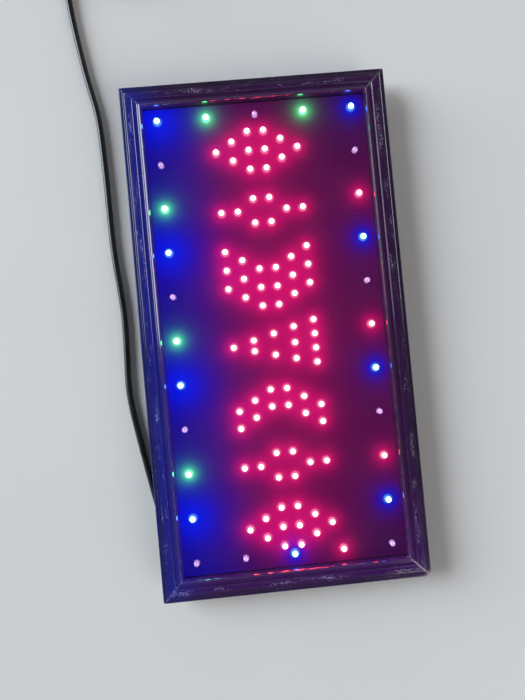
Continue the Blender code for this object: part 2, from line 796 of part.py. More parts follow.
def build_driver():
    """The driver board and what is soldered to it."""
    bm = bmesh.new()
    add_box(bm, BOARD_LOW, BOARD_HIGH)
    board = finish_mesh("control_board", bm, BOARD_GREEN)
    bm = bmesh.new()
    for x, y in board_corners():
        radius = BOARD_SCREW_RADIUS + GAP
        low, high = (x, y, BOARD_LOW.z - 0.001), (x, y, BOARD_HIGH.z + 0.001)
        add_cone(bm, low, high, radius, radius, 8)
    boolean(board, "DIFFERENCE", finish_mesh("board_holes", bm, None, TOOLS))

    top = BOARD_HIGH.z + GAP
    blocks = {
        "dropper_capacitor": ((0.148, -0.071), (0.168, -0.060), 0.0085, CAPACITOR_YELLOW),
        "bridge_rectifier": ((0.137, -0.069), (0.143, -0.061), 0.0036, CHIP_BLACK),
        "controller_chip": ((0.122, -0.0645), (0.132, -0.058), 0.0033, CHIP_BLACK),
        "mains_terminal": ((0.179, -0.0700), (0.190, -0.0580), 0.0080, TERMINAL_GREEN),
        "lamp_header": ((0.114, -0.0545), (0.128, -0.0485), 0.0060, HEADER_WHITE),
    }
    for name, (low, high, tall, material) in blocks.items():
        box(name, (*low, top), (*high, top + tall), material)
    start = Vector((0.118, -0.0750, top + 0.0041))
    cylinder("smoothing_capacitor", start, start + Vector((0.014, 0, 0)), 0.0040, SLEEVE_BLACK)
    axial("line_fuse", (0.150, 0.170), -0.0775, 0.0018, GLASS_CLEAR)
    axial("bleeder_resistor", (0.149, 0.165), -0.0535, 0.0013, RESISTOR_BEIGE)


def axial(name, ends, y, radius, material):
    """A body lying along X on two bent leads."""
    low = BOARD_HIGH.z + GAP
    high = low + radius + 0.0012
    feet = [(ends[0], y, low), (ends[0], y, high), (ends[1], y, high), (ends[1], y, low)]
    wire = wire_curve(name + "_leads", feet, 0.0004, 0, None, TOOLS)
    bpy.context.view_layer.update()
    inset = 0.22 * (ends[1] - ends[0])
    made = cylinder(name, (ends[0] + inset, y, high), (ends[1] - inset, y, high), radius, material, 8)
    boolean(made, "UNION", place_mesh(name + "_leads", curve_to_mesh(wire), None, TOOLS))


def build_wiring(places):
    """The lamp harness, a flat comb under the figures, and the leads to the board."""
    half = HARNESS_TOOTH / 2
    tip = FIGURE_MIDDLE - 2.5 * FIGURE_ROW
    (start, end), (low_y, high_y) = HARNESS_X, HARNESS_Y
    figures = [string for name, string in places.items() if not name.startswith("border")]
    teeth = sorted(min(string, key=lambda place: place[1])[0] for string in figures)
    outline = [(end, high_y), (end, low_y), (start, low_y), (start, high_y)]
    for x in teeth:
        outline += [(x - half, high_y), (x - half, tip), (x + half, tip), (x + half, high_y)]
    comb = flat_solid([outline], HARNESS_THICKNESS)
    height = LAMP_BOTTOM - LEAD_RADIUS - GAP - HARNESS_THICKNESS / 2
    comb.transform(Matrix.Translation((0, 0, height)))
    place_mesh("wiring_harness", comb, WIRE_GREY)

    routes = {
        "live_lead": (LIVE_ROUTE, WIRE_BROWN),
        "neutral_lead": (NEUTRAL_ROUTE, WIRE_BLUE),
        "power_switch_lead": (POWER_SWITCH_ROUTE, SLEEVE_BLACK),
        "mode_switch_lead": (MODE_SWITCH_ROUTE, SLEEVE_BLACK),
    }
    for name, (route, material) in routes.items():
        wire_curve(name, smooth_path(route, 0.0030), LEAD_WIRE_RADIUS, 1, material)


def build_switches():
    """Two rocker switches, each a housing and a rocker on its pivot, pressed at its lower end."""
    face = HALF_X - POCKET_DEPTH + GAP + BEZEL.x
    for label, y in SWITCH_Y.items():
        back = face - BEZEL.x
        bezel_low = (back, y - BEZEL.y / 2, SWITCH_Z - BEZEL.z / 2)
        bezel_high = (face, y + BEZEL.y / 2, SWITCH_Z + BEZEL.z / 2)
        housing = box(label + "_switch_housing", bezel_low, bezel_high, SWITCH_BLACK)
        half_y, half_z = SWITCH_BODY.y / 2, SWITCH_BODY.z / 2
        body_low = (back - SWITCH_BODY.x, y - half_y, SWITCH_Z - half_z)
        body_high = (back + BEZEL.x / 2, y + half_y, SWITCH_Z + half_z)
        body = box(label + "_switch_body", body_low, body_high, None, TOOLS)
        boolean(housing, "UNION", body)
        bm = bmesh.new()
        for offset in (-0.0035, 0.0035):
            low = (body_low[0] - 0.0015, y + offset - 0.0004, SWITCH_Z - 0.0012)
            add_box(bm, low, (body_low[0] + 0.0004, y + offset + 0.0004, SWITCH_Z + 0.0012))
        boolean(housing, "UNION", finish_mesh(label + "_switch_blades", bm, None, TOOLS))
        half_y, half_z = ROCKER_CAVITY.y / 2, ROCKER_CAVITY.z / 2
        low = (face - ROCKER_CAVITY.x, y - half_y, SWITCH_Z - half_z)
        high = (face + 0.001, y + half_y, SWITCH_Z + half_z)
        boolean(housing, "DIFFERENCE", box(label + "_cavity", low, high, None, TOOLS))
        pivot = Vector((face - ROCKER_PIVOT, y, SWITCH_Z))
        reach = Vector((0, 0, 0.006))
        radius = PIVOT_RADIUS + GAP
        bore = cylinder(label + "_bore", pivot - reach, pivot + reach, radius, None, 12, TOOLS)
        boolean(housing, "DIFFERENCE", bore)
        build_rocker(label, pivot)


def build_rocker(label, pivot):
    """A rocker with a shallow V face and a pivot stub on each side."""
    rise = ROCKER_HALF * math.tan(ROCKER_TILT)
    crown = ROCKER_PIVOT - 0.0005
    half = [(crown + rise, ROCKER_HALF), (0.0010, ROCKER_HALF), (-0.0018, 0.0018)]
    outline = [(crown, 0.0), *half, *[(x, -y) for x, y in half[::-1]]]
    mesh = flat_solid([outline], ROCKER_WIDTH)
    rocker = place_mesh(label + "_rocker", mesh, ROCKER_BLACK)
    reach = Vector((0, 0, PIVOT_REACH))
    stub = cylinder(label + "_stub", -reach, reach, PIVOT_RADIUS, None, 12, TOOLS)
    boolean(rocker, "UNION", stub)
    for piece in (rocker, stub):
        piece.location = pivot
        piece.rotation_euler.z = -ROCKER_TILT


def build_outlet():
    """The cord's outlet block, clipped through the tray's wall, and its tapered strain relief."""
    outlet = box("cord_outlet", OUTLET_LOW, OUTLET_HIGH, CORD_BLACK)
    middle_x = (OUTLET_LOW.x + OUTLET_HIGH.x) / 2
    wall = TRAY_WALL - TRAY_Y
    neck = box(
        "outlet_neck",
        (middle_x - 0.0047, OUTLET_HIGH.y - 0.001, 0.0027),
        (middle_x + 0.0047, wall + 0.0010, 0.0071),
        None,
        TOOLS,
    )
    boolean(outlet, "UNION", neck)
    clip = box(
        "outlet_clip",
        (middle_x - 0.0060, wall + GAP, 0.0022),
        (middle_x + 0.0060, wall + 0.0022, 0.0078),
        None,
        TOOLS,
    )
    boolean(outlet, "UNION", clip)
    way = Vector((-math.cos(RELIEF_TURN), -math.sin(RELIEF_TURN), -RELIEF_DROP)).normalized()
    bm = bmesh.new()
    add_cone(bm, RELIEF_BASE, RELIEF_BASE + way * RELIEF_LENGTH, *RELIEF_RADII, 16)
    finish_mesh("strain_relief", bm, CORD_BLACK)


def build_cord():
    """The lead to the coil, the coil, its tie, the tail and the plug."""
    wire_curve("cord_lead", smooth_path(LEAD_ROUTE, TUBE_STEP), CORD_RADIUS, 2, CORD_BLACK)
    wire_curve("cord_tail", smooth_path(TAIL_ROUTE, TUBE_STEP), CORD_RADIUS, 2, CORD_BLACK)
    inner, outer = COIL_RADIUS - COIL_WIDTH / 2, COIL_RADIUS + COIL_WIDTH / 2
    edge = 0.0020
    profile = [
        (inner + edge, COIL_TOP),
        (outer - edge, COIL_TOP),
        (outer, COIL_TOP - edge),
        (outer, COIL_BOTTOM + edge),
        (outer - edge, COIL_BOTTOM),
        (inner + edge, COIL_BOTTOM),
        (inner, COIL_BOTTOM + edge),
        (inner, COIL_TOP - edge),
    ]
    turned("cord_coil", profile, 40, CORD_BLACK, COIL_MIDDLE)

    def frame(grow):
        half = COIL_WIDTH / 2 + GAP + grow
        low, high = COIL_BOTTOM - GAP - grow, COIL_TOP + GAP + grow
        return [(half, high), (-half, high), (-half, low), (half, low)]

    band = flat_solid([frame(TIE_THICKNESS), frame(0.0)], TIE_WIDTH)
    turn = Matrix.Rotation(TIE_ANGLE, 4, "Z")
    stand = Matrix.Rotation(math.radians(90), 4, "X")
    out = Matrix.Translation((COIL_RADIUS, 0, 0))
    band.transform(Matrix.Translation(COIL_MIDDLE) @ turn @ out @ stand)
    place_mesh("cord_tie", band, TIE_BLACK)


def build_plug():
    """A flat two-pin plug lying beside the coil, with its pins pointing along Y."""
    back = PLUG_RELIEF_Y + PLUG_RELIEF_LENGTH
    side = [
        (0.0055, 0.0),
        (0.0085, 0.0030),
        (0.0095, 0.0090),
        (0.0088, 0.0160),
        (0.0110, 0.0225),
        (0.0130, 0.0280),
        (0.0130, 0.0335),
        (0.0115, PLUG_LENGTH),
    ]
    outline = [(PLUG_MIDDLE_X + x, back + y) for x, y in side]
    outline += [(PLUG_MIDDLE_X - x, back + y) for x, y in side[::-1]]
    mesh = flat_solid([outline], PLUG_THICKNESS)
    mesh.transform(Matrix.Translation((0, 0, PLUG_AXIS_Z)))
    body = place_mesh("plug_body", mesh, CORD_BLACK)
    bm = bmesh.new()
    start = Vector((PLUG_MIDDLE_X, PLUG_RELIEF_Y, PLUG_AXIS_Z))
    add_cone(bm, start, start + Vector((0, PLUG_RELIEF_LENGTH + 0.001, 0)), 0.0035, 0.0046, 12)
    boolean(body, "UNION", finish_mesh("plug_relief", bm, None, TOOLS))
    face = back + PLUG_LENGTH + GAP
    for number, side_of in enumerate((-1, 1), 1):
        start = Vector((PLUG_MIDDLE_X + side_of * PIN_SPACING / 2, face, PLUG_AXIS_Z))
        end = start + Vector((0, PIN_LENGTH, 0))
        cylinder(f"plug_pin_{number}", start, end, PIN_RADIUS, PIN_METAL, 10)


for leftover in list(bpy.data.objects):
    bpy.data.objects.remove(leftover, do_unlink=True)

PARTS = new_collection("lighted_advertising_sign")
TOOLS = new_collection("cutters")

RAIL_BLACK = new_material("rail_gloss_black", (0.012, 0.012, 0.014), 0.22)
PANEL_BLACK = new_material("panel_satin_black", (0.010, 0.010, 0.012), 0.35)
TRAY_BLACK = new_material("tray_matt_black", (0.020, 0.020, 0.022), 0.60)
LAMP_RED = new_material("lamp_red", (0.95, 0.10, 0.20), 0.15)
LAMP_BLUE = new_material("lamp_blue", (0.10, 0.20, 0.95), 0.15)
LAMP_GREEN = new_material("lamp_green", (0.10, 0.90, 0.35), 0.15)
LAMP_CLEAR = new_material("lamp_clear", (0.80, 0.72, 0.74), 0.15)
STEEL = new_material("zinc_plated_steel", (0.62, 0.62, 0.64), 0.35, 1.0)
BOARD_GREEN = new_material("board_green", (0.03, 0.20, 0.09), 0.45)
CAPACITOR_YELLOW = new_material("capacitor_yellow", (0.75, 0.55, 0.08), 0.45)
CHIP_BLACK = new_material("chip_black", (0.02, 0.02, 0.02), 0.50)
TERMINAL_GREEN = new_material("terminal_green", (0.05, 0.35, 0.15), 0.45)
HEADER_WHITE = new_material("header_white", (0.80, 0.80, 0.76), 0.50)
SLEEVE_BLACK = new_material("sleeve_black", (0.03, 0.03, 0.03), 0.40)
GLASS_CLEAR = new_material("fuse_glass", (0.75, 0.80, 0.80), 0.10)
RESISTOR_BEIGE = new_material("resistor_beige", (0.70, 0.58, 0.40), 0.50)
WIRE_GREY = new_material("ribbon_grey", (0.45, 0.45, 0.46), 0.50)
WIRE_BROWN = new_material("wire_brown", (0.25, 0.10, 0.04), 0.45)
WIRE_BLUE = new_material("wire_blue", (0.05, 0.15, 0.55), 0.45)
SWITCH_BLACK = new_material("switch_black", (0.015, 0.015, 0.016), 0.40)
ROCKER_BLACK = new_material("rocker_black", (0.012, 0.012, 0.013), 0.28)
CORD_BLACK = new_material("cord_black", (0.012, 0.012, 0.013), 0.32)
TIE_BLACK = new_material("tie_black", (0.03, 0.03, 0.03), 0.45)
PIN_METAL = new_material("pin_nickel", (0.72, 0.70, 0.66), 0.25, 1.0)

LAMP_PLACES = lamp_places()
LAMP_MATERIALS = {
    "border_lamps_blue": LAMP_BLUE,
    "border_lamps_green": LAMP_GREEN,
    "border_lamps_spare": LAMP_CLEAR,
}
build_rails()
build_wedges()
build_panel(LAMP_PLACES)
for string_name, lamp_string in LAMP_PLACES.items():
    build_lamp_string(string_name, lamp_string, LAMP_MATERIALS.get(string_name, LAMP_RED))
build_tray()
build_screws()
build_driver()
build_wiring(LAMP_PLACES)
build_switches()
build_outlet()
build_cord()
build_plug()
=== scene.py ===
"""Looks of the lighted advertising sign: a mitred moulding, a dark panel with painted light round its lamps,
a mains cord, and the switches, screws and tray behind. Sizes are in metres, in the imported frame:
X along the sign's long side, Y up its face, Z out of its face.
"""

import json
import math

import bmesh
import bpy
import numpy as np
from mathutils import Matrix, Vector, noise
from mathutils.geometry import delaunay_2d_cdt


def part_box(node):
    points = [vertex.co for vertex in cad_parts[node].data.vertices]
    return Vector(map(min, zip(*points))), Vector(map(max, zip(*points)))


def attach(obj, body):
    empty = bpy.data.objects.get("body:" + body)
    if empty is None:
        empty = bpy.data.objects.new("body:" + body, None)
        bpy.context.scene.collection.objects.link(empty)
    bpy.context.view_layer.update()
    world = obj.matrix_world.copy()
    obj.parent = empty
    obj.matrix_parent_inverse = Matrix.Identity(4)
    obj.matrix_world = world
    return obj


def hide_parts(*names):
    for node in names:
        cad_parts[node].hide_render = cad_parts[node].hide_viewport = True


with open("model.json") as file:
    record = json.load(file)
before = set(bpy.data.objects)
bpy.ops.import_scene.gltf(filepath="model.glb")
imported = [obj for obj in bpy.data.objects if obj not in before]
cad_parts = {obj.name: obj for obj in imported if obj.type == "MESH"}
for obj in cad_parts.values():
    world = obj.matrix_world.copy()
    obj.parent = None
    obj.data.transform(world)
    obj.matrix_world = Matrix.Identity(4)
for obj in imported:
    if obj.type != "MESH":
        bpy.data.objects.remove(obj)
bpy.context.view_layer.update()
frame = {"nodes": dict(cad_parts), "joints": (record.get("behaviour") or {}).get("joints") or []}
NODES = frame["nodes"]

# Sizes shared with the solids
HALF_X, HALF_Y = 0.240, 0.125
MITRE_GAP = 0.00022
PANEL_HALF = (0.2230, 0.1080)
PANEL_LOW, PANEL_TOP = 0.0170, 0.0190
LAMP_TIP = 0.0242
POCKET_GAP = 0.0003
WEDGE_INSET, WEDGE_ARM, WEDGE_SLOT, WEDGE_TOP = 0.0055, 0.0080, 0.0011, 0.0173
SWITCH_Y = {"power": -0.0660, "mode": -0.0400}
SWITCH_Z = 0.0176
CORD_RADIUS = 0.0030
# Where the strap lies on the coil, how far it is from the middle of the turns, and how square its loop is
TIE_ANGLE = math.radians(225)
TIE_REACH, TIE_SQUARE = 0.00635, 0.52
# The strain relief's wide end and its turn, and the rockers' turn at rest
RELIEF_BASE = (0.2017, -0.1160, 0.0044)
RELIEF_ANGLE = math.radians(12)
ROCKER_TILT = math.radians(-10)
# In millimetres, the strain relief's length and half the rocker's
RELIEF_LENGTH, ROCKER_HALF = 25.0, 4.4

# Where the camera stands, its own right and the way it looks
CAMERA_PLACE = (0.0230, -0.0283, 0.5130)
CAMERA_RIGHT, CAMERA_FORWARD = (0.0921, 0.9953, 0.0296), (-0.0152, 0.0312, -0.9994)
CAMERA_LENS = 27.0
FLOOR_TOP = -0.0003
# Each broad light: the way to it, how wide it looks in degrees, its strength and its colour
LIGHTS = {
    "window": ((-0.45, -1.0, 0.50), 40.0, 3.7, (0.86, 0.93, 1.0)),
    "fill": ((0.9, 0.75, 0.60), 44.0, 0.9, (1.0, 0.92, 0.84)),
}
# Strength of the surround near the horizon, and overhead, where it would grey the sign's face,
# and the rise, as a sine, over which it changes
WORLD_LOW, WORLD_HIGH = 0.42, 0.05
WORLD_FADE = (0.35, 0.85)

# Each rail: half its length, how far out it lies, and its turn about Z in degrees
RAILS = {
    "frame_rail_bottom": (HALF_X, HALF_Y, 0),
    "frame_rail_right": (HALF_Y, HALF_X, 90),
    "frame_rail_top": (HALF_X, HALF_Y, 180),
    "frame_rail_left": (HALF_Y, HALF_X, 270),
}
# The ends of each rail, as signs of X and Y
RAIL_CORNERS = {
    "frame_rail_bottom": [(-1, -1), (1, -1)],
    "frame_rail_right": [(1, -1), (1, 1)],
    "frame_rail_top": [(1, 1), (-1, 1)],
    "frame_rail_left": [(-1, 1), (-1, -1)],
}
# How far apart the rails lie in their looks, so that no two are worn alike
RUN_STEP = 1.3
# At each mitre: the narrow strip, how far its edge is eased, and how far in it is worn
MITRE_STRIP, MITRE_EASE, MITRE_WORN = 0.0005, 0.00012, 0.0009
MITRE_WEAR = 0.7
# The chipped corner: the chip's size, its deepest point's move, and the share of that depth that is
# bare, then how far along the mitre the black is gone
CHIPPED_CORNER = Vector((HALF_X, HALF_Y, 0.0244))
CHIP_SIZE = 0.0058
CHIP_MOVE = Vector((-0.00072, -0.00072, -0.00108))
CHIP_BARE = 0.28
CHIPPED_MITRE = 0.0260

# Section of the moulding in millimetres, inset and height: outer edge, bead, then (after the
# wrinkled band) a fine line, a cove, the rim and its fall to the panel
OUTER_EDGE = [(0.0, 23.3), (0.15, 23.9), (0.6, 24.3), (1.2, 24.45), (2.7, 24.72), (3.0, 24.62)]
BEAD = [(3.25, 24.95), (3.7, 25.2), (4.15, 25.0), (4.45, 24.6), (4.8, 24.7)]
FINE_LINE = [(11.65, 25.72), (12.0, 26.0), (12.35, 25.8), (12.7, 25.35)]
COVE = [(13.4, 25.08), (14.7, 24.9), (15.8, 25.05), (16.55, 25.45)]
RIM = [(17.0, 26.05), (17.3, 26.7), (17.6, 27.2), (18.1, 27.53), (18.6, 27.8), (18.95, 27.96), (19.2, 27.85)]
RIM_FALL = [(19.45, 27.45), (19.75, 27.0), (20.05, 26.45), (20.45, 25.3), (20.8, 23.8), (20.97, 22.5)]
PANEL_EDGE = (21.0, 21.0)
RAIL_SIDE = [(0.0, 11.0 + 1.5 * k) for k in range(8)]
RAIL_BACK = [(21.0, 19.3), (16.7, 19.3), (16.7, 15.0), (16.7, 11.0), (8.0, 11.0)]
# The wrinkled band between the two groups of lines: its insets in millimetres
BAND = (5.0, 11.4)
BAND_STEPS = 18
# Distance between sections along a rail
RAIL_STEP = 0.0011
WRINKLE_HEIGHT = 0.00005
# How often the wrinkles and their waver repeat, in each metre along the rail and across it
WRINKLE_RATE, WAVER_RATE = (230, 820), (90, 260)
# Faces above this height are the moulding's front
FRONT_HEIGHT = 0.0240
# Insets of the lines between the mouldings, where the painted lamp light is darkened as painted shade
GROOVES = (0.0030, 0.0048, 0.0129, 0.0165)
GROOVE_WIDTH, GROOVE_SHADE = 0.0006, 0.6
# The most that the black is paled along its crests, and the pale lines by inset and width in metres: along
# the bead, the fine line and the outer edge, and on the rim's crest a painted highlight
MOST_CREST_PALING = 0.32
PALE_CREST_LINES = ((0.0037, 0.0004), (0.0120, 0.0004), (0.0188, 0.0005), (0.0006, 0.0006))
# Painted light of the lamps on the moulding, given as emission: over most of it, towards the +X end, and
# along the -Y rail
CAST_VIOLET, CAST_END, CAST_BLUE = (0.022, 0.001, 0.032), (0.034, 0.002, 0.072), (0.001, 0.012, 0.260)
CAST_BLUE_Y, CAST_BLUE_FADE = -0.103, 0.010
# Its share at the outer edge, and where it rises: along X to the end's light, inwards and upwards
CAST_OUTER = 0.45
CAST_END_X, CAST_INSETS, CAST_HEIGHTS = (0.12, 0.22), (0.0, 0.013), (0.0215, 0.0245)

# Light of each colour of lamp: its white tip, its coloured foot, and then the light painted on the panel
# round it: the colour, strength, reach and steepness
LAMP_LIGHT = {
    "red": ((60.0, 3.6, 4.4), (6.0, 0.10, 0.32), (1.0, 0.001, 0.115), 0.62, 0.0078, 3.2),
    "blue": ((3.6, 13.0, 60.0), (0.02, 0.25, 7.0), (0.001, 0.006, 1.0), 0.72, 0.0086, 3.0),
    "green": ((5.0, 50.0, 14.0), (0.12, 6.0, 0.9), (0.09, 1.0, 0.28), 1.15, 0.0054, 3.2),
}
# Strength and reach of the blue lamps' painted light along the panel's -Y edge, and elsewhere
BLUE_EDGE, BLUE_REST = (1.0, 0.0175), LAMP_LIGHT["blue"][3:5]
BLUE_EDGE_Y = -0.05
# How far a blue lamp clears the haze round it of red, in its own reaches
BLUE_CLEARS = 1.45
# Painted haze of light over the panel: by its -Y edge, away from that edge, over its +Y half, and everywhere
HAZE_EDGE, HAZE_AWAY, HAZE_HALF = (0.000, 0.001, 0.185), (0.014, 0.000, 0.000), (0.050, 0.001, 0.008)
HAZE_BASE = (0.003, 0.002, 0.046)
# Where the haze changes, over what distance, and how near the ends it fades
HAZE_EDGE_Y, HAZE_EDGE_FADE, HAZE_HALF_Y, HAZE_HALF_FADE, HAZE_END = -0.054, 0.012, -0.045, 0.018, 0.085
GLOW_LIMIT = (1.1, 2.2, 1.1)
# Painted pale light of each colour on the panel close round its lamp
SPILL_RADIUS, SPILL_WIDTH = 0.0024, 0.0012
SPILL = {"red": (0.55, 0.34, 0.42), "blue": (0.20, 0.55, 0.55), "green": (0.60, 0.45, 0.55)}
LENS_RADIUS, LENS_SIDES = 0.00252, 20
# Heights between which a lit lens goes from its coloured foot to its white tip
LENS_FADE = (0.0207, 0.0236)
# Round each lamp, the panel's rings of points: their radii in millimetres, the first round its hole
LAMP_RINGS = (3.0, 3.35, 3.8, 4.4, 5.2, 6.3, 7.6)
HOLE_SIDES = 20
HOLE_CHAMFER = 0.0003
# The grid of points between the rings, and how far it stays from them
PANEL_STEP, PANEL_CLEAR = 0.0036, 0.0011
# Below this height each lamp keeps the solid's own lead wires
LEADS_TOP = 0.0163

# Cord: the free lead and the tail as points, the coil between them by its turns
CORD_FLOOR = 0.00305
LEAD_START = [(0.1900, -0.1185, 0.0041), (0.1770, -0.1213, 0.0037), (0.1650, -0.1239, 0.0033)]
LEAD_ON_FLOOR = [
    (0.1500, -0.1270), (0.1350, -0.1298), (0.1200, -0.1325), (0.1050, -0.1351),
    (0.0900, -0.1376), (0.0750, -0.1400), (0.0600, -0.1422), (0.0450, -0.1436),
    (0.0280, -0.1437), (0.0080, -0.1429), (-0.0120, -0.1424), (-0.0330, -0.1424),
    (-0.0550, -0.1438), (-0.0800, -0.1459), (-0.1050, -0.1472), (-0.1320, -0.1476),
    (-0.1600, -0.1479), (-0.1900, -0.1486), (-0.2120, -0.1495), (-0.2310, -0.1515),
    (-0.2500, -0.1553), (-0.2700, -0.1592), (-0.2900, -0.1623), (-0.3100, -0.1652),
    (-0.3300, -0.1677),
]
LEAD_END = [(-0.3500, -0.1694, 0.0034), (-0.3733, -0.1700, 0.0040)]
LEAD_ROUTE = [*LEAD_START, *[(x, y, CORD_FLOOR) for x, y in LEAD_ON_FLOOR], *LEAD_END]
TAIL_ROUTE = [
    (-0.4345, -0.1088, 0.0086), (-0.4346, -0.1000, 0.0069), (-0.4346, -0.0920, 0.0062),
    (-0.4345, -0.0840, 0.0064), (-0.4345, -0.0700, 0.0068),
]
COIL_MIDDLE = Vector((-0.3960, -0.1315, 0.0))
COIL_TURNS = 3.25
COIL_OUTER, COIL_INNER = 0.0385, 0.0325
COIL_LOW, COIL_HIGH = 0.0041, 0.0101
TURN_POINTS = 20

# Half width and half height of the plug's body along it, in millimetres
PLUG_SHAPE = [
    (0.2, 5.0, 4.4), (1.2, 6.9, 5.3), (3.0, 8.4, 5.9), (6.0, 9.2, 6.2), (9.0, 9.45, 6.3),
    (12.5, 9.1, 6.1), (16.0, 8.8, 6.0), (19.5, 9.8, 6.2), (22.5, 11.0, 6.35), (25.5, 12.3, 6.45),
    (28.0, 12.9, 6.5), (33.2, 13.0, 6.5), (34.2, 12.7, 6.2), (34.8, 12.1, 5.6), (35.0, 11.2, 4.9),
]
PLUG_NECK, PLUG_SIDES = 0.0220, 36


# ---------------------------------------------------------------- materials

MAP_RANGE = ("From Min", "From Max", "To Min", "To Max")


class Look:
    """A material under construction, with short ways to add and join its nodes."""

    def __init__(self, name, colour=(0.5, 0.5, 0.5), roughness=0.5, metallic=0.0, **sockets):
        self.material = bpy.data.materials.new(name)
        self.material.use_nodes = True
        self.tree = self.material.node_tree
        self.shader = self.tree.nodes["Principled BSDF"]
        self.shader.inputs["Base Color"].default_value = (*colour, 1.0)
        self.shader.inputs["Roughness"].default_value = roughness
        self.shader.inputs["Metallic"].default_value = metallic
        for socket, value in sockets.items():
            self.shader.inputs[socket.replace("_", " ")].default_value = value
        self.place = self.add("ShaderNodeTexCoord").outputs["Object"]

    def add(self, kind, **settings):
        node = self.tree.nodes.new(kind)
        for key, value in settings.items():
            setattr(node, key, value)
        return node

    def join(self, start, end):
        self.tree.links.new(start, end)

    def attribute(self, name, output="Color"):
        return self.add("ShaderNodeAttribute", attribute_name=name).outputs[output]

    def noise(self, scale, detail=3.0, stretch=(1.0, 1.0, 1.0), distortion=0.0):
        """Noise from 0 to 1 over the piece, drawn out by stretch."""
        mapping = self.add("ShaderNodeMapping")
        mapping.inputs["Scale"].default_value = stretch
        self.join(self.place, mapping.inputs["Vector"])
        node = self.add("ShaderNodeTexNoise")
        node.inputs["Scale"].default_value = scale
        node.inputs["Detail"].default_value = detail
        node.inputs["Distortion"].default_value = distortion
        self.join(mapping.outputs["Vector"], node.inputs["Vector"])
        return node.outputs["Fac"]

    def remap(self, value, low, high, to_low=0.0, to_high=1.0):
        node = self.add("ShaderNodeMapRange")
        for socket, number in zip(MAP_RANGE, (low, high, to_low, to_high)):
            node.inputs[socket].default_value = number
        self.join(value, node.inputs["Value"])
        return node.outputs["Result"]

    def combine(self, operation, first, second):
        node = self.add("ShaderNodeMath", operation=operation)
        self.join(first, node.inputs[0])
        self.join(second, node.inputs[1])
        return node.outputs["Value"]

    def multiply(self, first, second):
        return self.combine("MULTIPLY", first, second)

    def mix(self, factor, first, second):
        """A colour between two, which are colours or sockets."""
        node = self.add("ShaderNodeMix", data_type="RGBA")
        self.join(factor, node.inputs["Factor"])
        for socket, colour in zip((node.inputs[6], node.inputs[7]), (first, second)):
            if isinstance(colour, tuple):
                socket.default_value = (*colour, 1.0)
            else:
                self.join(colour, socket)
        return node.outputs[2]

    def bump(self, height, distance):
        node = self.add("ShaderNodeBump")
        node.inputs["Distance"].default_value = distance
        node.inputs["Strength"].default_value = 1.0
        self.join(height, node.inputs["Height"])
        self.join(node.outputs["Normal"], self.shader.inputs["Normal"])

    def set(self, socket, value):
        self.join(value, self.shader.inputs[socket])


def moulded(name, dark, light, roughness, grain_scale=900.0, grain=0.00004, **more):
    """Moulded plastic or plated metal: cloudy colour and gloss, with a fine grain."""
    look = Look(name, dark, roughness[0], **more)
    patches = look.noise(35.0, 4.0)
    look.set("Base Color", look.mix(look.remap(patches, 0.35, 0.7), dark, light))
    look.set("Roughness", look.remap(patches, 0.3, 0.75, *roughness))
    look.bump(look.noise(grain_scale, 2.0), grain)
    return look.material


def rail_look():
    """Glossy black moulding, its black tinted violet as painted lamp light: pale squiggles along its band,
    pale lines along its crests with a painted highlight on the rim's crest, worn mitres and a chipped corner.

    The glow attribute is painted light: the faint light that the lamps cast on its front, given as emission.
    """
    look = Look("rail_gloss_black", (0.010, 0.008, 0.018), 0.2, Coat_Weight=0.5)
    look.shader.inputs["Specular IOR Level"].default_value = 0.35
    look.shader.inputs["Coat Roughness"].default_value = 0.06
    look.place = look.attribute("run", "Vector")
    cloud = look.noise(60.0, 4.0)
    # The black's violet tint stands in for the lamps' violet light on the moulding: painted light
    base = look.mix(look.remap(cloud, 0.35, 0.7), (0.007, 0.006, 0.014), (0.016, 0.012, 0.026))
    field = look.noise(1.0, 2.0, (210.0, 560.0, 1.0), 1.2)
    line = look.multiply(look.remap(field, 0.474, 0.492), look.remap(field, 0.526, 0.508))
    spots = look.remap(look.noise(1.0, 3.0, (34.0, 150.0, 1.0)), 0.53, 0.62)
    squiggles = look.multiply(look.multiply(line, spots), look.attribute("band", "Fac"))
    # Pale marks: the squiggles on the band and the pale crest lines, the one along the rim a painted
    # highlight, with the worn mitres and the bare chip
    wear_and_highlight = look.attribute("wear_and_highlight", "Fac")
    flecks = look.remap(look.noise(1.0, 4.0, (260.0, 900.0, 1.0)), 0.50, 0.62)
    pale_marks = look.combine("MAXIMUM", squiggles, look.multiply(wear_and_highlight, flecks))
    pale_marked = look.mix(pale_marks, base, (0.46, 0.44, 0.54))
    look.set("Base Color", look.mix(look.remap(wear_and_highlight, 0.86, 0.98), pale_marked, (0.55, 0.50, 0.45)))
    parts = look.add("ShaderNodeSeparateXYZ")
    look.join(look.place, parts.inputs["Vector"])
    satin = look.remap(parts.outputs["Y"], 0.0162, 0.0176, 1.0, 0.3)
    rough = look.add("ShaderNodeMath", operation="MULTIPLY_ADD")
    look.join(pale_marks, rough.inputs[0])
    rough.inputs[1].default_value = 0.35
    look.join(look.multiply(look.remap(cloud, 0.3, 0.75, 0.12, 0.24), satin), rough.inputs[2])
    look.set("Roughness", rough.outputs["Value"])
    grain = look.multiply(look.noise(1.0, 4.0, (160.0, 420.0, 1.0)), satin)
    look.bump(grain, 0.000012)
    # Emission: the painted lamp light of the glow attribute
    look.set("Emission Color", look.attribute("glow"))
    look.shader.inputs["Emission Strength"].default_value = 1.0
    return look.material


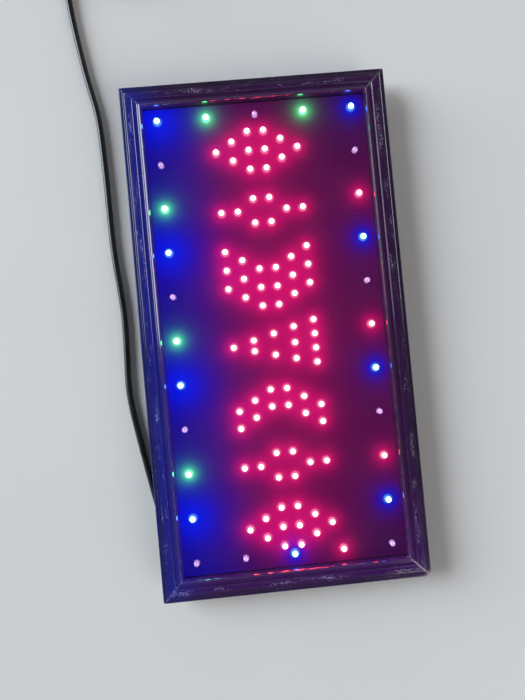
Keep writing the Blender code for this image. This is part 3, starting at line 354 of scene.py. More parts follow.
def panel_look():
    """Satin black panel: the glow attribute is the lamps' light in and on it, painted as emission; a little
    dust lies on it.
    """
    look = Look("panel_satin_black", (0.004, 0.0035, 0.005), 0.33)
    look.shader.inputs["Specular IOR Level"].default_value = 0.16
    cloud = look.noise(30.0, 4.0)
    base = look.mix(look.remap(cloud, 0.35, 0.7), (0.0025, 0.002, 0.0035), (0.005, 0.004, 0.007))
    dust = look.remap(look.noise(1500.0, 1.0), 0.765, 0.80)
    look.set("Base Color", look.mix(dust, base, (0.22, 0.18, 0.24)))
    look.set("Roughness", look.remap(cloud, 0.3, 0.75, 0.26, 0.40))
    look.bump(look.noise(1100.0, 2.0), 0.00003)
    look.set("Emission Color", look.attribute("glow"))
    look.shader.inputs["Emission Strength"].default_value = 1.0
    return look.material


def lamp_look(name, lens):
    """A lit lamp's lens. The glow attribute runs from the white tip to the coloured foot."""
    look = Look(name, lens, 0.18, Coat_Weight=0.5)
    ripple = look.noise(700.0, 2.0)
    look.set("Roughness", look.remap(ripple, 0.3, 0.7, 0.12, 0.24))
    look.set("Emission Color", look.attribute("glow"))
    look.shader.inputs["Emission Strength"].default_value = 1.0
    look.bump(ripple, 0.00002)
    return look.material


def clear_look():
    """An unlit lamp's clear lens; its faint pink tint and violet glow are painted light from its lit
    neighbours.
    """
    look = Look("lamp_clear", (0.93, 0.86, 0.95), 0.06, IOR=1.5, Coat_Weight=0.2)
    look.shader.inputs["Transmission Weight"].default_value = 0.85
    look.set("Roughness", look.remap(look.noise(500.0, 2.0), 0.3, 0.7, 0.03, 0.12))
    # Painted light from the lit neighbours
    look.shader.inputs["Emission Color"].default_value = (0.62, 0.36, 0.95, 1.0)
    look.shader.inputs["Emission Strength"].default_value = 0.15
    return look.material


def cup_look():
    """The silvered cup of an unlit lamp; its violet tint and glow are painted light of its lit neighbours."""
    look = Look("lamp_cup", (0.85, 0.66, 0.90), 0.25, 0.6)
    patches = look.noise(900.0, 2.0)
    look.set("Base Color", look.mix(patches, (0.70, 0.50, 0.78), (0.90, 0.74, 0.96)))
    # Painted light of the lit neighbours
    look.shader.inputs["Emission Color"].default_value = (0.80, 0.50, 1.0, 1.0)
    look.shader.inputs["Emission Strength"].default_value = 0.38
    return look.material


def floor_look():
    """Pale card, faintly cloudy."""
    look = Look("studio_floor", (0.84, 0.83, 0.81), 0.6)
    cloud = look.noise(3.0, 3.0)
    look.set("Base Color", look.mix(look.remap(cloud, 0.3, 0.7), (0.82, 0.81, 0.79), (0.86, 0.85, 0.83)))
    return look.material


# ---------------------------------------------------------------- shapes


def loft(bm, rings, caps=True):
    """Faces between successive rings of points, and over the ends."""
    made = [[bm.verts.new(point) for point in ring] for ring in rings]
    count = len(made[0])
    for low, high in zip(made, made[1:]):
        for k in range(count):
            m = (k + 1) % count
            bm.faces.new((low[k], low[m], high[m], high[k]))
    if caps:
        bm.faces.new(made[0][::-1])
        bm.faces.new(made[-1])
    return made


def ring(centre, radius, height, sides, axes=(Vector((1, 0, 0)), Vector((0, 1, 0)), Vector((0, 0, 1)))):
    """A level circle of points round a centre."""
    out, across, up = axes
    angles = [math.tau * k / sides for k in range(sides)]
    middle = Vector(centre) + up * height
    return [middle + radius * (math.cos(a) * out + math.sin(a) * across) for a in angles]


def piece(name, bm, material, replaces=(), body="sign", sharp=40.0):
    """Turns a bmesh into a piece that rides on a body and stands for CAD nodes."""
    bmesh.ops.recalc_face_normals(bm, faces=bm.faces)
    mesh = bpy.data.meshes.new(name)
    bm.to_mesh(mesh)
    bm.free()
    return adopt(bpy.data.objects.new(name, mesh), material, replaces, body, sharp)


def adopt(made, material, replaces=(), body="sign", sharp=40.0):
    """Links a mesh object, with its material, body and CAD nodes."""
    bpy.context.scene.collection.objects.link(made)
    if not made.data.materials:
        made.data.materials.append(material)
    made.data.shade_smooth()
    made.data.set_sharp_from_angle(angle=math.radians(sharp))
    even = made.modifiers.new("even", "WEIGHTED_NORMAL")
    even.keep_sharp = True
    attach(made, body)
    if replaces:
        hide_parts(*replaces)
    return made


def cut(bm, tool):
    """The bmesh less a tool bmesh, by an exact Boolean. Both are used up."""
    pair = []
    for source in (bm, tool):
        bmesh.ops.recalc_face_normals(source, faces=source.faces)
        mesh = bpy.data.meshes.new("cut")
        source.to_mesh(mesh)
        source.free()
        pair.append(bpy.data.objects.new("cut", mesh))
        bpy.context.scene.collection.objects.link(pair[-1])
    target, cutter = pair
    modifier = target.modifiers.new("cut", "BOOLEAN")
    modifier.operation = "DIFFERENCE"
    modifier.solver = "EXACT"
    modifier.object = cutter
    graph = bpy.context.evaluated_depsgraph_get()
    result = bmesh.new()
    result.from_mesh(target.evaluated_get(graph).to_mesh())
    for made in pair:
        bpy.data.objects.remove(made)
    return result


def add_block(bm, low, high):
    """A box between two corners."""
    low, high = Vector(low), Vector(high)
    move = Matrix.Translation((low + high) / 2) @ Matrix.Diagonal((*(high - low), 1.0))
    bmesh.ops.create_cube(bm, size=1.0, matrix=move)


def smooth(points, steps):
    """Points along a Catmull-Rom curve, steps to each span."""
    knots = [Vector(p) for p in points]
    ends = [2 * knots[0] - knots[1], *knots, 2 * knots[-1] - knots[-2]]
    found = []
    for a, b, c, d in zip(ends, ends[1:], ends[2:], ends[3:]):
        for part in range(steps):
            t = part / steps
            found.append(
                0.5
                * (
                    2 * b
                    + (c - a) * t
                    + (2 * a - 5 * b + 4 * c - d) * t * t
                    + (3 * b - a - 3 * c + d) * t * t * t
                )
            )
    return [*found, knots[-1]]


# ---------------------------------------------------------------- camera, floor and light


def build_camera():
    """Looks down on the sign, with its long side up the picture."""
    data = bpy.data.cameras.new("camera")
    data.sensor_width = 36.0
    data.lens = CAMERA_LENS
    made = bpy.data.objects.new("camera", data)
    bpy.context.scene.collection.objects.link(made)
    right = Vector(CAMERA_RIGHT).normalized()
    forward = Vector(CAMERA_FORWARD).normalized()
    up = right.cross(forward).normalized()
    right = forward.cross(up).normalized()
    turn = Matrix((right, up, -forward)).transposed().to_4x4()
    made.matrix_world = Matrix.Translation(CAMERA_PLACE) @ turn
    bpy.context.scene.camera = made


def add_broad_light(name, way, spread, strength, colour):
    """Soft light from one side that falls evenly on the whole floor."""
    data = bpy.data.lights.new(name, "SUN")
    data.angle = math.radians(spread)
    data.energy = strength
    data.color = colour
    made = bpy.data.objects.new(name, data)
    made.rotation_mode = "QUATERNION"
    made.rotation_quaternion = (-Vector(way)).to_track_quat("-Z", "Y")
    bpy.context.scene.collection.objects.link(made)


def build_stage():
    """A plain pale floor, two soft lights and a surround that darkens overhead."""
    bm = bmesh.new()
    bmesh.ops.create_grid(bm, x_segments=4, y_segments=4, size=4.0)
    mesh = bpy.data.meshes.new("studio_floor")
    bm.to_mesh(mesh)
    bm.free()
    floor = bpy.data.objects.new("studio_floor", mesh)
    floor.location.z = FLOOR_TOP
    bpy.context.scene.collection.objects.link(floor)
    mesh.materials.append(floor_look())
    for name, facts in LIGHTS.items():
        add_broad_light(name, *facts)
    world = bpy.data.worlds.new("surround")
    world.use_nodes = True
    nodes, links = world.node_tree.nodes, world.node_tree.links
    way = nodes.new("ShaderNodeTexCoord").outputs["Generated"]
    parts = nodes.new("ShaderNodeSeparateXYZ")
    links.new(way, parts.inputs["Vector"])
    fall = nodes.new("ShaderNodeMapRange")
    for socket, number in zip(MAP_RANGE, (*WORLD_FADE, WORLD_LOW, WORLD_HIGH)):
        fall.inputs[socket].default_value = number
    links.new(parts.outputs["Z"], fall.inputs["Value"])
    background = nodes["Background"]
    background.inputs["Color"].default_value = (0.84, 0.89, 1.0, 1.0)
    links.new(fall.outputs["Result"], background.inputs["Strength"])
    bpy.context.scene.world = world
    bpy.context.scene.view_settings.view_transform = "Standard"


# ---------------------------------------------------------------- cord


def ease(t, start, end):
    """From 0 at start to 1 at end, smoothly."""
    t = min(1.0, max(0.0, (t - start) / (end - start)))
    return t * t * (3 - 2 * t)


def coil_point(t):
    """The coil's centreline after t turns, clockwise from its near side: out, in, up and out again."""
    inward = ease(t, 0.80, 1.00) - ease(t, 2.40, 2.60)
    radius = COIL_OUTER + (COIL_INNER - COIL_OUTER) * inward
    height = COIL_LOW + (COIL_HIGH - COIL_LOW) * ease(t, 1.56, 1.80)
    angle = -math.pi / 2 - math.tau * t
    return COIL_MIDDLE + Vector((radius * math.cos(angle), radius * math.sin(angle), height))


def build_cord(material):
    """The whole mains cord as one curve, from inside its strain relief to inside its plug."""
    turns = [coil_point(k / TURN_POINTS) for k in range(round(COIL_TURNS * TURN_POINTS) + 1)]
    points = [*[Vector(p) for p in LEAD_ROUTE], *turns, *[Vector(p) for p in TAIL_ROUTE]]
    curve = bpy.data.curves.new("mains_cord", "CURVE")
    curve.dimensions = "3D"
    curve.bevel_depth = CORD_RADIUS
    curve.bevel_resolution = 5
    curve.resolution_u = 6
    curve.use_fill_caps = True
    spline = curve.splines.new("BEZIER")
    spline.bezier_points.add(len(points) - 1)
    for knot, place in zip(spline.bezier_points, points):
        knot.co = place
        knot.handle_left_type = knot.handle_right_type = "AUTO"
    curve.materials.append(material)
    made = bpy.data.objects.new("mains_cord", curve)
    bpy.context.scene.collection.objects.link(made)
    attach(made, "sign")
    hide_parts("cord_lead", "cord_coil", "cord_tail")
    return made


# ---------------------------------------------------------------- moulding


def rail_section():
    """The section as (inset, height) points in metres, from the back's outer edge round to the rabbet."""
    low, high = BAND
    band = []
    for k in range(BAND_STEPS + 1):
        share = k / BAND_STEPS
        crown = 0.22 * math.sin(math.pi * share)
        band.append((low + (high - low) * share, 24.9 + 0.8 * share + crown))
    front = smooth([(x, 0.0, z) for x, z in [*OUTER_EDGE, *BEAD]], 2)
    inner = smooth([(x, 0.0, z) for x, z in [*FINE_LINE, *COVE, *RIM, *RIM_FALL, PANEL_EDGE]], 2)
    seen = [(p.x, p.z) for p in front] + band + [(p.x, p.z) for p in inner]
    return [(x / 1000, z / 1000) for x, z in [*RAIL_SIDE, *seen, *RAIL_BACK]]


def wrinkle(along, inset):
    """Height from 0 to 1 of the band's embossed wrinkles, drawn out along the rail."""
    waver = noise.noise(Vector((along * WAVER_RATE[0], inset * WAVER_RATE[1], 9.0)))
    across = inset * WRINKLE_RATE[1] + 1.8 * waver
    return max(0.0, 1.0 - 2.2 * abs(noise.noise(Vector((along * WRINKLE_RATE[0], across, 3.1)))))


def rail_vertex(share, inset, height, half_length, seed):
    """A point of the section at a share of the rail's length: its place, its wear and painted highlight, and
    its part in the band.
    """
    along = share * (half_length - inset - MITRE_GAP)
    low, high = BAND[0] / 1000, BAND[1] / 1000
    patch = 0.5 + 0.5 * noise.noise(Vector((along * 30 + seed, inset * 60, 1.7)))
    wear_and_highlight, band = 0.0, 0.0
    if low <= inset <= high and height > FRONT_HEIGHT:
        band = math.sin(math.pi * (inset - low) / (high - low)) ** 0.5
        height += WRINKLE_HEIGHT * band * (wrinkle(along + seed, inset) - 0.4)
    elif height > FRONT_HEIGHT:
        # Pale lines along the crests; the one along the rim's crest is a painted highlight
        near = max(math.exp(-(((inset - line) / width) ** 2)) for line, width in PALE_CREST_LINES)
        wear_and_highlight = MOST_CREST_PALING * near * max(0.0, patch - 0.52) / 0.48
    at_mitre = abs(share) > 0.9999
    if at_mitre and height > 0.0200:
        height -= MITRE_EASE
    return Vector((along, inset, height)), wear_and_highlight, band


def knocked(place, wear_and_highlight, by_mitre):
    """A point of the moulding and its wear and painted highlight, after the knocks on its mitres and at the
    chipped corner.
    """
    gap = (place - CHIPPED_CORNER).length
    if by_mitre:
        wear_and_highlight = 1.0 if gap < CHIPPED_MITRE else MITRE_WEAR
    if gap < CHIP_SIZE:
        depth = (1 - gap / CHIP_SIZE) * (0.8 + 0.6 * noise.noise(place * 900))
        place = place + CHIP_MOVE * depth
        wear_and_highlight = 1.0 if depth > CHIP_BARE else wear_and_highlight
    return place, wear_and_highlight


def rail_stations(half_length):
    """Shares of a rail's half length to set sections at, with a narrow strip at each mitre."""
    count = round(2 * half_length / RAIL_STEP)
    edge = 1 - MITRE_STRIP / half_length
    inner = [2 * edge * k / count - edge for k in range(count + 1)]
    return [-1.0, *inner, 1.0]


def painted_lamp_light(place, inset, height):
    """Painted light of the lamps on the moulding's front, as emission: blue along the -Y rail, violet
    elsewhere, darkened as painted shade in its grooves.
    """
    by_edge = 1 / (1 + math.exp((place.y - CAST_BLUE_Y) / CAST_BLUE_FADE))
    light = Vector(CAST_VIOLET).lerp(Vector(CAST_END), ease(place.x, *CAST_END_X))
    light = light.lerp(Vector(CAST_BLUE), by_edge)
    # Painted shade along the grooves
    near = max(math.exp(-(((inset - line) / GROOVE_WIDTH) ** 2)) for line in GROOVES)
    share = CAST_OUTER + (1 - CAST_OUTER) * ease(inset, *CAST_INSETS)
    return light * (1 - GROOVE_SHADE * near) * share * ease(height, *CAST_HEIGHTS)


def rail_cutter(name):
    """Slots for the mitre wedges and, on the right rail, the switches' pockets."""
    tool = bmesh.new()
    half, x, y = WEDGE_SLOT / 2, HALF_X - WEDGE_INSET, HALF_Y - WEDGE_INSET
    reach = WEDGE_ARM + half
    outline = [
        (x + half, y + half),
        (x - reach, y + half),
        (x - reach, y - half),
        (x - half, y - half),
        (x - half, y - reach),
        (x + half, y - reach),
    ]
    for sx, sy in RAIL_CORNERS[name]:
        loft(tool, [[Vector((sx * px, sy * py, z)) for px, py in outline] for z in (0.0100, WEDGE_TOP)])
    if name == "frame_rail_right":
        low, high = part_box("power_switch_housing")
        reach_y = (high.y - low.y) / 2 + POCKET_GAP
        reach_z = (high.z - low.z) / 2 + POCKET_GAP
        for centre in SWITCH_Y.values():
            bottom = (low.x - 0.0030, centre - reach_y, SWITCH_Z - reach_z)
            add_block(tool, bottom, (HALF_X + 0.002, centre + reach_y, SWITCH_Z + reach_z))
    return tool


def build_rails(material):
    """Each rail as a swept section with wrinkles, wear, a painted highlight along its rim, painted lamp light
    and a chipped corner.
    """
    section = rail_section()
    for seed, (name, (half_length, offset, degrees)) in enumerate(RAILS.items()):
        turn = Matrix.Rotation(math.radians(degrees), 3, "Z")
        rings, marks = [], []
        for share in rail_stations(half_length):
            around = []
            for inset, height in section:
                place, wear_and_highlight, band = rail_vertex(share, inset, height, half_length, RUN_STEP * seed)
                run = Vector((place.x + RUN_STEP * seed, inset, height))
                by_mitre = half_length - inset - abs(place.x) < MITRE_WORN and height > FRONT_HEIGHT
                place, wear_and_highlight = knocked(turn @ (place - Vector((0, offset, 0))), wear_and_highlight, by_mitre)
                around.append(place)
                marks.append((wear_and_highlight, band, run))
            rings.append(around)
        bm = bmesh.new()
        layers = [bm.verts.layers.float.new("wear_and_highlight"), bm.verts.layers.float.new("band")]
        layers.append(bm.verts.layers.float_vector.new("run"))
        made = loft(bm, rings)
        for vert, values in zip((v for around in made for v in around), marks):
            for layer, value in zip(layers, values):
                vert[layer] = value
        bm = cut(bm, rail_cutter(name))
        # Painted lamp light on the moulding's front, kept in the glow attribute
        glow = bm.verts.layers.float_color.new("glow")
        for vert in bm.verts:
            inset = offset + (turn.inverted() @ vert.co).y
            vert[glow] = (*painted_lamp_light(vert.co, inset, vert.co.z), 1.0)
        piece(name.replace("frame_rail", "moulding"), bm, material, [name], sharp=50.0)


# ---------------------------------------------------------------- lamps and panel


def lamp_tops(node):
    """The middle of each lamp's tip on a string."""
    tops = []
    for vertex in NODES[node].data.vertices:
        if vertex.co.z > LAMP_TIP - 0.00002:
            near = [group for group in tops if (group[0] - vertex.co).length < 0.004]
            if near:
                near[0].append(vertex.co.copy())
            else:
                tops.append([vertex.co.copy()])
    middles = []
    for group in tops:
        low = Vector(min(v[k] for v in group) for k in range(3))
        high = Vector(max(v[k] for v in group) for k in range(3))
        middles.append((low + high) / 2)
    return middles


def lamp_colour(node):
    """The colour of a string's lamps, or spare where they are dark."""
    for colour in ("blue", "green", "spare"):
        if node.endswith(colour):
            return colour
    return "red"


def lens_rings(top):
    """Rings of one domed lens: the flange under the panel, the barrel and the dome."""
    radius = dome = LENS_RADIUS
    foot = Vector((top.x, top.y, 0.0))
    shoulder = LAMP_TIP - dome
    flange = [(0.00260, 0.0158), (0.00278, 0.0159), (0.00278, 0.0166), (radius, 0.01665)]
    barrel = [(radius, z) for z in (0.0172, PANEL_TOP, 0.0198, 0.0207, shoulder)]
    rings = [ring(foot, r, z, LENS_SIDES) for r, z in [*flange, *barrel]]
    for degrees in (16, 32, 48, 64, 78):
        angle = math.radians(degrees)
        height = shoulder + dome * math.sin(angle)
        rings.append(ring(foot, radius * math.cos(angle), height, LENS_SIDES))
    return rings


def build_lamps(looks):
    """Each string of lamps: round lenses, lit or clear, over the solid's own lead wires."""
    for node in sorted(n for n in NODES if "_lamps" in n):
        colour = lamp_colour(node)
        bm = bmesh.new()
        bm.from_mesh(NODES[node].data)
        geometry = [*bm.verts, *bm.edges, *bm.faces]
        level, up = (0.0, 0.0, LEADS_TOP), (0.0, 0.0, 1.0)
        bmesh.ops.bisect_plane(bm, geom=geometry, plane_co=level, plane_no=up, clear_outer=True)
        for face in bm.faces:
            face.material_index = 1
        layer = bm.verts.layers.float_color.new("glow")
        verts = [v for top in lamp_tops(node) for around in loft(bm, lens_rings(top)) for v in around]
        if colour != "spare":
            tip, foot = (Vector(light) for light in LAMP_LIGHT[colour][:2])
            for vert in verts:
                vert[layer] = (*foot.lerp(tip, ease(vert.co.z, *LENS_FADE)), 1.0)
        made = piece(node.replace("lamps", "lenses"), bm, looks[colour], [node], sharp=60.0)
        made.data.materials.append(looks["leads"])
    bm = bmesh.new()
    for top in lamp_tops("border_lamps_spare"):
        foot = Vector((top.x, top.y, 0.0))
        outline = [(0.35, 17.3), (0.35, 19.3), (1.15, 20.6), (1.25, 20.6), (0.75, 20.0), (0.55, 19.9)]
        outline += [(0.30, 19.9), (0.28, 20.25)]
        loft(bm, [ring(foot, r / 1000, z / 1000, 12) for r, z in outline])
    piece("spare_lamp_cups", bm, looks["cup"])


def panel_points(lamps, radii, step):
    """Points of a face of the panel: rings round each lamp, then a grid between them and its edges."""
    centres = np.array([(lamp.x, lamp.y) for lamp in lamps])
    points = []
    for number, lamp in enumerate(lamps):
        for level, radius in enumerate(radii):
            for k in range(HOLE_SIDES):
                angle = math.tau * (k + 0.5 * (level % 2)) / HOLE_SIDES
                x = lamp.x + radius / 1000 * math.cos(angle)
                y = lamp.y + radius / 1000 * math.sin(angle)
                gaps = np.hypot(centres[:, 0] - x, centres[:, 1] - y)
                if level < 2 or gaps.argmin() == number:
                    points.append((x, y))
    half_x, half_y = PANEL_HALF
    columns, rows = round(2 * half_x / PANEL_STEP), round(2 * half_y / PANEL_STEP)
    clear = radii[-1] / 1000 + PANEL_CLEAR
    for i in range(columns + 1):
        for j in range(rows + 1):
            x, y = -half_x + 2 * half_x * i / columns, -half_y + 2 * half_y * j / rows
            on_edge = i in (0, columns) or j in (0, rows)
            kept = on_edge or (i % step == 0 and j % step == 0)
            if kept and np.hypot(centres[:, 0] - x, centres[:, 1] - y).min() > clear:
                points.append((x, y))
    return points


def add_sheet(bm, layer, lamps, points, height, chamfer, lights=None):
    """Triangles between points at a height, open over the lamps' holes, with the painted light that lights
    gives.
    """
    centres = np.array([(lamp.x, lamp.y) for lamp in lamps])
    corners, _, faces, *_ = delaunay_2d_cdt([Vector(p) for p in points], [], [], 0, 1e-7)
    places = np.array([tuple(p) for p in corners])
    glow = lights(places) if lights else np.zeros((len(places), 3))
    hole = LAMP_RINGS[0] / 1000
    verts = []
    for (x, y), light in zip(places, glow):
        at_rim = np.hypot(centres[:, 0] - x, centres[:, 1] - y).min() < hole + 0.00001
        vert = bm.verts.new((x, y, height - (chamfer if at_rim else 0.0)))
        vert[layer] = (*light, 1.0)
        verts.append(vert)
    for face in faces:
        x, y = places[list(face)].mean(axis=0)
        if np.hypot(centres[:, 0] - x, centres[:, 1] - y).min() > 0.985 * hole:
            bm.faces.new([verts[k] for k in face])


def painted_panel_light(places, strings):
    """Painted light in the panel at each place: a violet haze, bluer by the -Y edge, plus every lamp's own.
    """
    x, y = places[:, 0], places[:, 1]
    by_edge = 1 / (1 + np.exp((y - HAZE_EDGE_Y) / HAZE_EDGE_FADE))
    ends = np.clip((PANEL_HALF[0] - np.abs(x)) / HAZE_END, 0.0, 1.0)
    over_half = (0.25 + 0.75 * ends) / (1 + np.exp(-(y - HAZE_HALF_Y) / HAZE_HALF_FADE))
    glow = np.outer(by_edge, HAZE_EDGE)
    glow += np.outer(over_half, HAZE_HALF)
    glow += np.outer(1 - by_edge, HAZE_AWAY) + np.array(HAZE_BASE)
    lit_strings = [(lamp_colour(node), tops) for node, tops in strings.items()]
    for colour, tops in sorted(lit_strings, key=lambda string: "red green blue".find(string[0])):
        if colour == "spare":
            continue
        _, _, tint, strength, reach, steep = LAMP_LIGHT[colour]
        for top in tops:
            gap = np.hypot(x - top.x, y - top.y)
            if colour == "blue":
                strength, reach = BLUE_EDGE if top.y < BLUE_EDGE_Y else BLUE_REST
                glow *= 1 - np.outer(np.exp(-((gap / (BLUE_CLEARS * reach)) ** 2)), (1.0, 0.8, 0.0))
            lit = strength / (1 + (gap / reach) ** steep)
            glow += np.outer(lit, tint)
            glow += np.outer(np.exp(-(((gap - SPILL_RADIUS) / SPILL_WIDTH) ** 2)), SPILL[colour])
    limit = np.array(GLOW_LIMIT)
    return limit * (1 - np.exp(-glow / limit))


def build_panel(material):
    """The panel, with a chamfered hole for every lamp: a fine front that glows with painted light and a plain
    back.
    """
    strings = {node: lamp_tops(node) for node in sorted(n for n in NODES if "_lamps" in n)}
    lamps = [top for tops in strings.values() for top in tops]
    bm = bmesh.new()
    layer = bm.verts.layers.float_color.new("glow")
    front = panel_points(lamps, LAMP_RINGS, 1)
    add_sheet(bm, layer, lamps, front, PANEL_TOP, HOLE_CHAMFER, lambda places: painted_panel_light(places, strings))
    rims = [edge for edge in bm.edges if edge.is_boundary]
    walls = bmesh.ops.extrude_edge_only(bm, edges=rims)["geom"]
    for item in walls:
        if isinstance(item, bmesh.types.BMVert):
            item.co.z = PANEL_LOW
            item[layer] = (0.0, 0.0, 0.0, 1.0)
    add_sheet(bm, layer, lamps, panel_points(lamps, LAMP_RINGS[:1], 4), PANEL_LOW, 0.0)
    bmesh.ops.remove_doubles(bm, verts=bm.verts, dist=1e-6)
    piece("glowing_panel", bm, material, ["front_panel"], sharp=50.0)


# ---------------------------------------------------------------- hardware and cord fittings


def softened(node, material, width):
    """A CAD node's own shape with its edges rounded."""
    bm = bmesh.new()
    bm.from_mesh(NODES[node].data)
    bmesh.ops.remove_doubles(bm, verts=bm.verts, dist=1e-6)
    bmesh.ops.dissolve_limit(bm, angle_limit=math.radians(1), verts=bm.verts, edges=bm.edges)
    sharp = [e for e in bm.edges if e.is_manifold and e.calc_face_angle(0.0) > math.radians(40)]
    bmesh.ops.bevel(bm, geom=sharp, offset=width, segments=2, profile=0.6, affect="EDGES", clamp_overlap=True)
    return piece(node + "_moulded", bm, material, [node])


def build_screws(material):
    """Pan heads with a cross recess, one mesh for the tray's eight."""
    bm = bmesh.new()
    outline = [(1.4, 3.4), (1.4, 1.8), (2.9, 1.8), (3.0, 1.6), (2.98, 1.1)]
    outline += [(2.7, 0.55), (2.1, 0.18), (1.2, 0.02)]
    loft(bm, [ring((0, 0, 0), r / 1000, z / 1000, 28) for r, z in outline])
    tool = bmesh.new()
    recess = []
    for height, reach, half in ((-0.001, 0.0018, 0.00042), (0.0010, 0.0009, 0.00030)):
        arm = [(reach, -half), (reach, half), (half, half)]
        corners = []
        for k in range(4):
            turn = Matrix.Rotation(math.radians(90 * k), 3, "Z")
            corners += [turn @ Vector((x, y, height)) for x, y in arm]
        recess.append(corners)
    loft(tool, recess)
    head = cut(bm, tool)
    bmesh.ops.recalc_face_normals(head, faces=head.faces)
    mesh = bpy.data.meshes.new("tray_screw_head")
    head.to_mesh(mesh)
    head.free()
    for number in range(1, 9):
        node = f"tray_screw_{number}"
        low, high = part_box(node)
        made = bpy.data.objects.new(f"cross_screw_{number}", mesh)
        made.location = ((low.x + high.x) / 2, (low.y + high.y) / 2, low.z)
        made.rotation_euler.z = 0.7 * number
        adopt(made, material, [node])


def groove_depth(along, start, end, pitch, depth, power=1):
    """Depth at a place along a row of grooves."""
    if not start < along < end:
        return 0.0
    return depth * (0.5 - 0.5 * math.cos(math.tau * (along - start) / pitch)) ** power


def build_relief(material):
    """The tapered, ribbed strain relief on the cord's way out."""
    base = Vector(RELIEF_BASE)
    way = Vector((-math.cos(RELIEF_ANGLE), -math.sin(RELIEF_ANGLE), -0.024)).normalized()
    across = way.cross(Vector((0, 0, 1))).normalized()
    axes = (across, way.cross(across), way)
    stations = []
    for k in range(73):
        along = RELIEF_LENGTH * k / 72
        radius = 4.05 - 0.65 * along / RELIEF_LENGTH - groove_depth(along, 4.0, 22.0, 3.0, 0.42, 3)
        stations.append((along, radius))
    # Its two ends are rounded
    stations[0:1] = [(0.0, 3.7), (0.2, 4.0)]
    stations[-1:] = [(24.8, 3.4), (RELIEF_LENGTH, 3.15)]
    bm = bmesh.new()
    loft(bm, [ring(base, r / 1000, a / 1000, 28, axes) for a, r in stations])
    piece("ribbed_relief", bm, material, ["strain_relief"])


def oval(centre_x, y, z, half_width, half_height, power):
    """A rounded oblong section across the plug."""
    points = []
    for k in range(PLUG_SIDES):
        angle = math.tau * k / PLUG_SIDES
        c, s = math.cos(angle), math.sin(angle)
        x = math.copysign(abs(c) ** (2 / power), c) * half_width
        h = math.copysign(abs(s) ** (2 / power), s) * half_height
        points.append(Vector((centre_x + x, y, z + h)))
    return points


def build_plug(body_look, metal_look):
    """A waisted plug body with its ribbed neck, and two sleeved pins."""
    low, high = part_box("plug_body")
    middle, height = (low.x + high.x) / 2, (low.z + high.z) / 2
    rings = []
    for k in range(45):
        along = PLUG_NECK * k / 44
        radius = 0.0034 + 0.0012 * along / PLUG_NECK
        radius -= groove_depth(along, 0.003, 0.019, 0.0032, 0.0004, 3)
        rings.append(oval(middle, low.y + along, height, radius, radius, 2.0))
    for along, half_width, half_height in smooth(PLUG_SHAPE, 4):
        grip = groove_depth(along, 7.0, 19.0, 2.0, 0.22)
        square = 2.6 + 1.4 * min(1.0, along / 20)
        y = low.y + PLUG_NECK + along / 1000
        rings.append(oval(middle, y, height, (half_width - grip) / 1000, half_height / 1000, square))
    bm = bmesh.new()
    loft(bm, rings)
    plug = piece("moulded_plug", bm, body_look, ["plug_body"])
    fittings = [plug]
    upright = (Vector((1, 0, 0)), Vector((0, 0, 1)), Vector((0, 1, 0)))
    for number in (1, 2):
        near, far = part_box(f"plug_pin_{number}")
        start = Vector(((near.x + far.x) / 2, near.y - 0.0002, height))
        reach = (far.y - near.y) * 1000
        outline = [(0.0, 1.88), (reach - 1.6, 1.88), (reach - 0.9, 1.74), (reach - 0.4, 1.35), (reach, 0.6)]
        bm = bmesh.new()
        loft(bm, [ring(start, r / 1000, a / 1000, 24, upright) for a, r in outline])
        fittings.append(piece(f"pin_{number}", bm, metal_look, [f"plug_pin_{number}"]))
        bm = bmesh.new()
        outline = [(0.0, 1.80), (0.0, 2.0), (9.3, 2.0), (9.6, 1.93), (9.6, 1.80)]
        loft(bm, [ring(start, r / 1000, a / 1000, 24, upright) for a, r in outline], caps=False)
        fittings.append(piece(f"pin_sleeve_{number}", bm, body_look))
    return fittings


def build_tie(material):
    """A strap round the coil's turns."""
    low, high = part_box("cord_coil")
    out = Vector((math.cos(TIE_ANGLE), math.sin(TIE_ANGLE), 0))
    across = Vector((-math.sin(TIE_ANGLE), math.cos(TIE_ANGLE), 0))
    middle = COIL_MIDDLE + out * (COIL_OUTER + COIL_INNER) / 2 + Vector((0, 0, (low.z + high.z) / 2))
    bm = bmesh.new()
    rings = []
    for k in range(64):
        angle = math.tau * k / 64
        c, s = math.cos(angle), math.sin(angle)
        place = Vector((math.copysign(abs(c) ** TIE_SQUARE, c), math.copysign(abs(s) ** TIE_SQUARE, s)))
        section = []
        for side, grow in ((-2.4, 0.0), (-2.4, 0.55), (-2.1, 0.72), (2.1, 0.72), (2.4, 0.55), (2.4, 0.0)):
            reach = TIE_REACH + grow / 1000
            edge = middle + across * side / 1000
            section.append(edge + out * place.x * reach + Vector((0, 0, place.y * reach)))
        rings.append(section)
    loft(bm, [*rings, rings[0]], caps=False)
    bmesh.ops.remove_doubles(bm, verts=bm.verts, dist=1e-6)
    return piece("coil_strap", bm, material, ["cord_tie"])


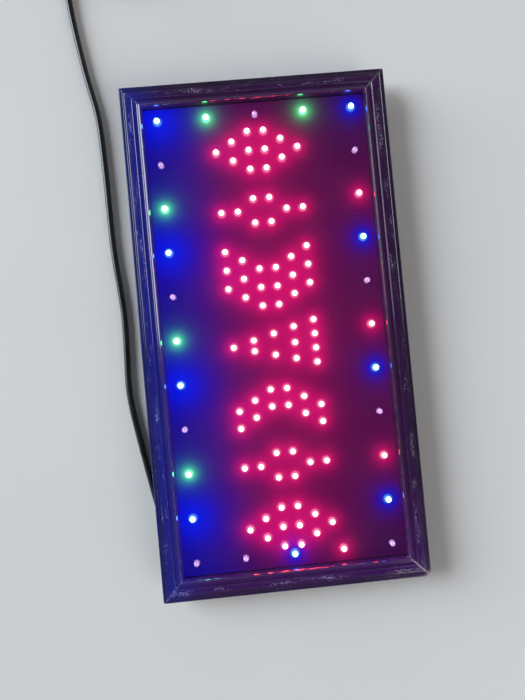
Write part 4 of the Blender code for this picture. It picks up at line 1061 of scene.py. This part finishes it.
def build_rockers(material):
    """Each rocker: a dished face with grip lines, on its own body, at rest with its lower end pressed."""
    joints = {joint["child"]: Vector(joint["pos_m"]) for joint in frame["joints"]}
    tilt = Matrix.Rotation(ROCKER_TILT, 3, "Z")
    for body, pivot in joints.items():
        outline = []
        for k in range(41):
            y = -ROCKER_HALF + 2 * ROCKER_HALF * k / 40
            dish = 3.2 + 0.72 * (abs(y) / ROCKER_HALF) ** 1.5 - groove_depth(abs(y), 2.4, 3.9, 0.5, 0.10)
            outline.append((dish, y))
        outline += [(3.2, ROCKER_HALF), (1.0, ROCKER_HALF), (-1.8, 1.8)]
        outline += [(-1.8, -1.8), (1.0, -ROCKER_HALF), (3.2, -ROCKER_HALF)]
        rings = []
        for z, shrink in ((-3.0, 0.94), (-2.9, 0.98), (-2.7, 1.0), (2.7, 1.0), (2.9, 0.98), (3.0, 0.94)):
            rings.append([pivot + tilt @ (Vector((x * shrink, y * shrink, z)) / 1000) for x, y in outline])
        bm = bmesh.new()
        loft(bm, rings)
        piece(body.replace("rocker", "rocker_cap"), bm, material, [body], body, sharp=30.0)


build_camera()
build_stage()

CORD_LOOK = moulded("cord_black", (0.010, 0.010, 0.011), (0.022, 0.022, 0.023), (0.26, 0.40), 600.0)
CORD = build_cord(CORD_LOOK)

build_rails(rail_look())
LAMP_LOOKS = {
    "red": lamp_look("lamp_red", (0.80, 0.10, 0.20)),
    "blue": lamp_look("lamp_blue", (0.10, 0.20, 0.80)),
    "green": lamp_look("lamp_green", (0.15, 0.75, 0.40)),
    "spare": clear_look(),
    "cup": cup_look(),
    "leads": moulded("lamp_leads", (0.50, 0.49, 0.47), (0.66, 0.65, 0.62), (0.28, 0.45), metallic=1.0),
}
build_lamps(LAMP_LOOKS)
build_panel(panel_look())

ZINC = moulded(
    "zinc_plated_steel", (0.55, 0.55, 0.57), (0.68, 0.68, 0.68), (0.25, 0.45), 1400.0, metallic=1.0
)
BOARD = moulded("board_green", (0.02, 0.16, 0.07), (0.03, 0.22, 0.10), (0.35, 0.50), 800.0)
# Parts of the driver: each one's look, its darker colour and its lighter one
COLOURS = {
    "dropper_capacitor": ("capacitor_yellow", (0.70, 0.50, 0.06), (0.80, 0.60, 0.10)),
    "bridge_rectifier": ("chip_black", (0.015, 0.015, 0.016), (0.03, 0.03, 0.03)),
    "controller_chip": ("chip_black", (0.015, 0.015, 0.016), (0.03, 0.03, 0.03)),
    "mains_terminal": ("terminal_green", (0.04, 0.30, 0.12), (0.06, 0.40, 0.17)),
    "lamp_header": ("header_white", (0.72, 0.71, 0.66), (0.84, 0.83, 0.80)),
    "smoothing_capacitor": ("sleeve_black", (0.02, 0.02, 0.03), (0.04, 0.04, 0.05)),
    "power_switch_lead": ("sleeve_black", (0.02, 0.02, 0.02), (0.04, 0.04, 0.04)),
    "mode_switch_lead": ("sleeve_black", (0.02, 0.02, 0.02), (0.04, 0.04, 0.04)),
    "line_fuse": ("fuse_glass", (0.62, 0.68, 0.68), (0.80, 0.84, 0.84)),
    "bleeder_resistor": ("resistor_beige", (0.62, 0.50, 0.33), (0.76, 0.64, 0.46)),
    "wiring_harness": ("ribbon_grey", (0.38, 0.38, 0.39), (0.50, 0.50, 0.51)),
    "live_lead": ("wire_brown", (0.20, 0.08, 0.03), (0.30, 0.12, 0.05)),
    "neutral_lead": ("wire_blue", (0.04, 0.12, 0.48), (0.06, 0.18, 0.62)),
}
for node, (look_name, dark, light) in COLOURS.items():
    NODES[node].material_slots[0].material = moulded(f"{look_name}_{node}", dark, light, (0.30, 0.50))
NODES["control_board"].material_slots[0].material = BOARD
for node in sorted(n for n in NODES if n.startswith(("board_screw", "mitre_wedge"))):
    NODES[node].material_slots[0].material = ZINC

TRAY_LOOK = moulded(
    "tray_matt_black", (0.016, 0.016, 0.018), (0.026, 0.026, 0.029), (0.45, 0.65), 420.0, 0.00012
)
softened("back_tray", TRAY_LOOK, 0.0004)
SWITCH_LOOK = moulded("switch_black", (0.012, 0.012, 0.013), (0.022, 0.022, 0.023), (0.35, 0.50), 1200.0)
for label in SWITCH_Y:
    softened(f"{label}_switch_housing", SWITCH_LOOK, 0.0002)
build_rockers(moulded("rocker_black", (0.010, 0.010, 0.011), (0.020, 0.020, 0.021), (0.18, 0.30), 1500.0))
softened("cord_outlet", CORD_LOOK, 0.0006)
build_screws(ZINC)
build_relief(CORD_LOOK)
NICKEL = moulded("pin_nickel", (0.64, 0.62, 0.58), (0.76, 0.74, 0.70), (0.15, 0.30), 1600.0, metallic=1.0)
FITTINGS = build_plug(CORD_LOOK, NICKEL)
TIE_LOOK = moulded("tie_black", (0.025, 0.025, 0.026), (0.045, 0.045, 0.046), (0.45, 0.60), 1600.0)
FITTINGS.append(build_tie(TIE_LOOK))
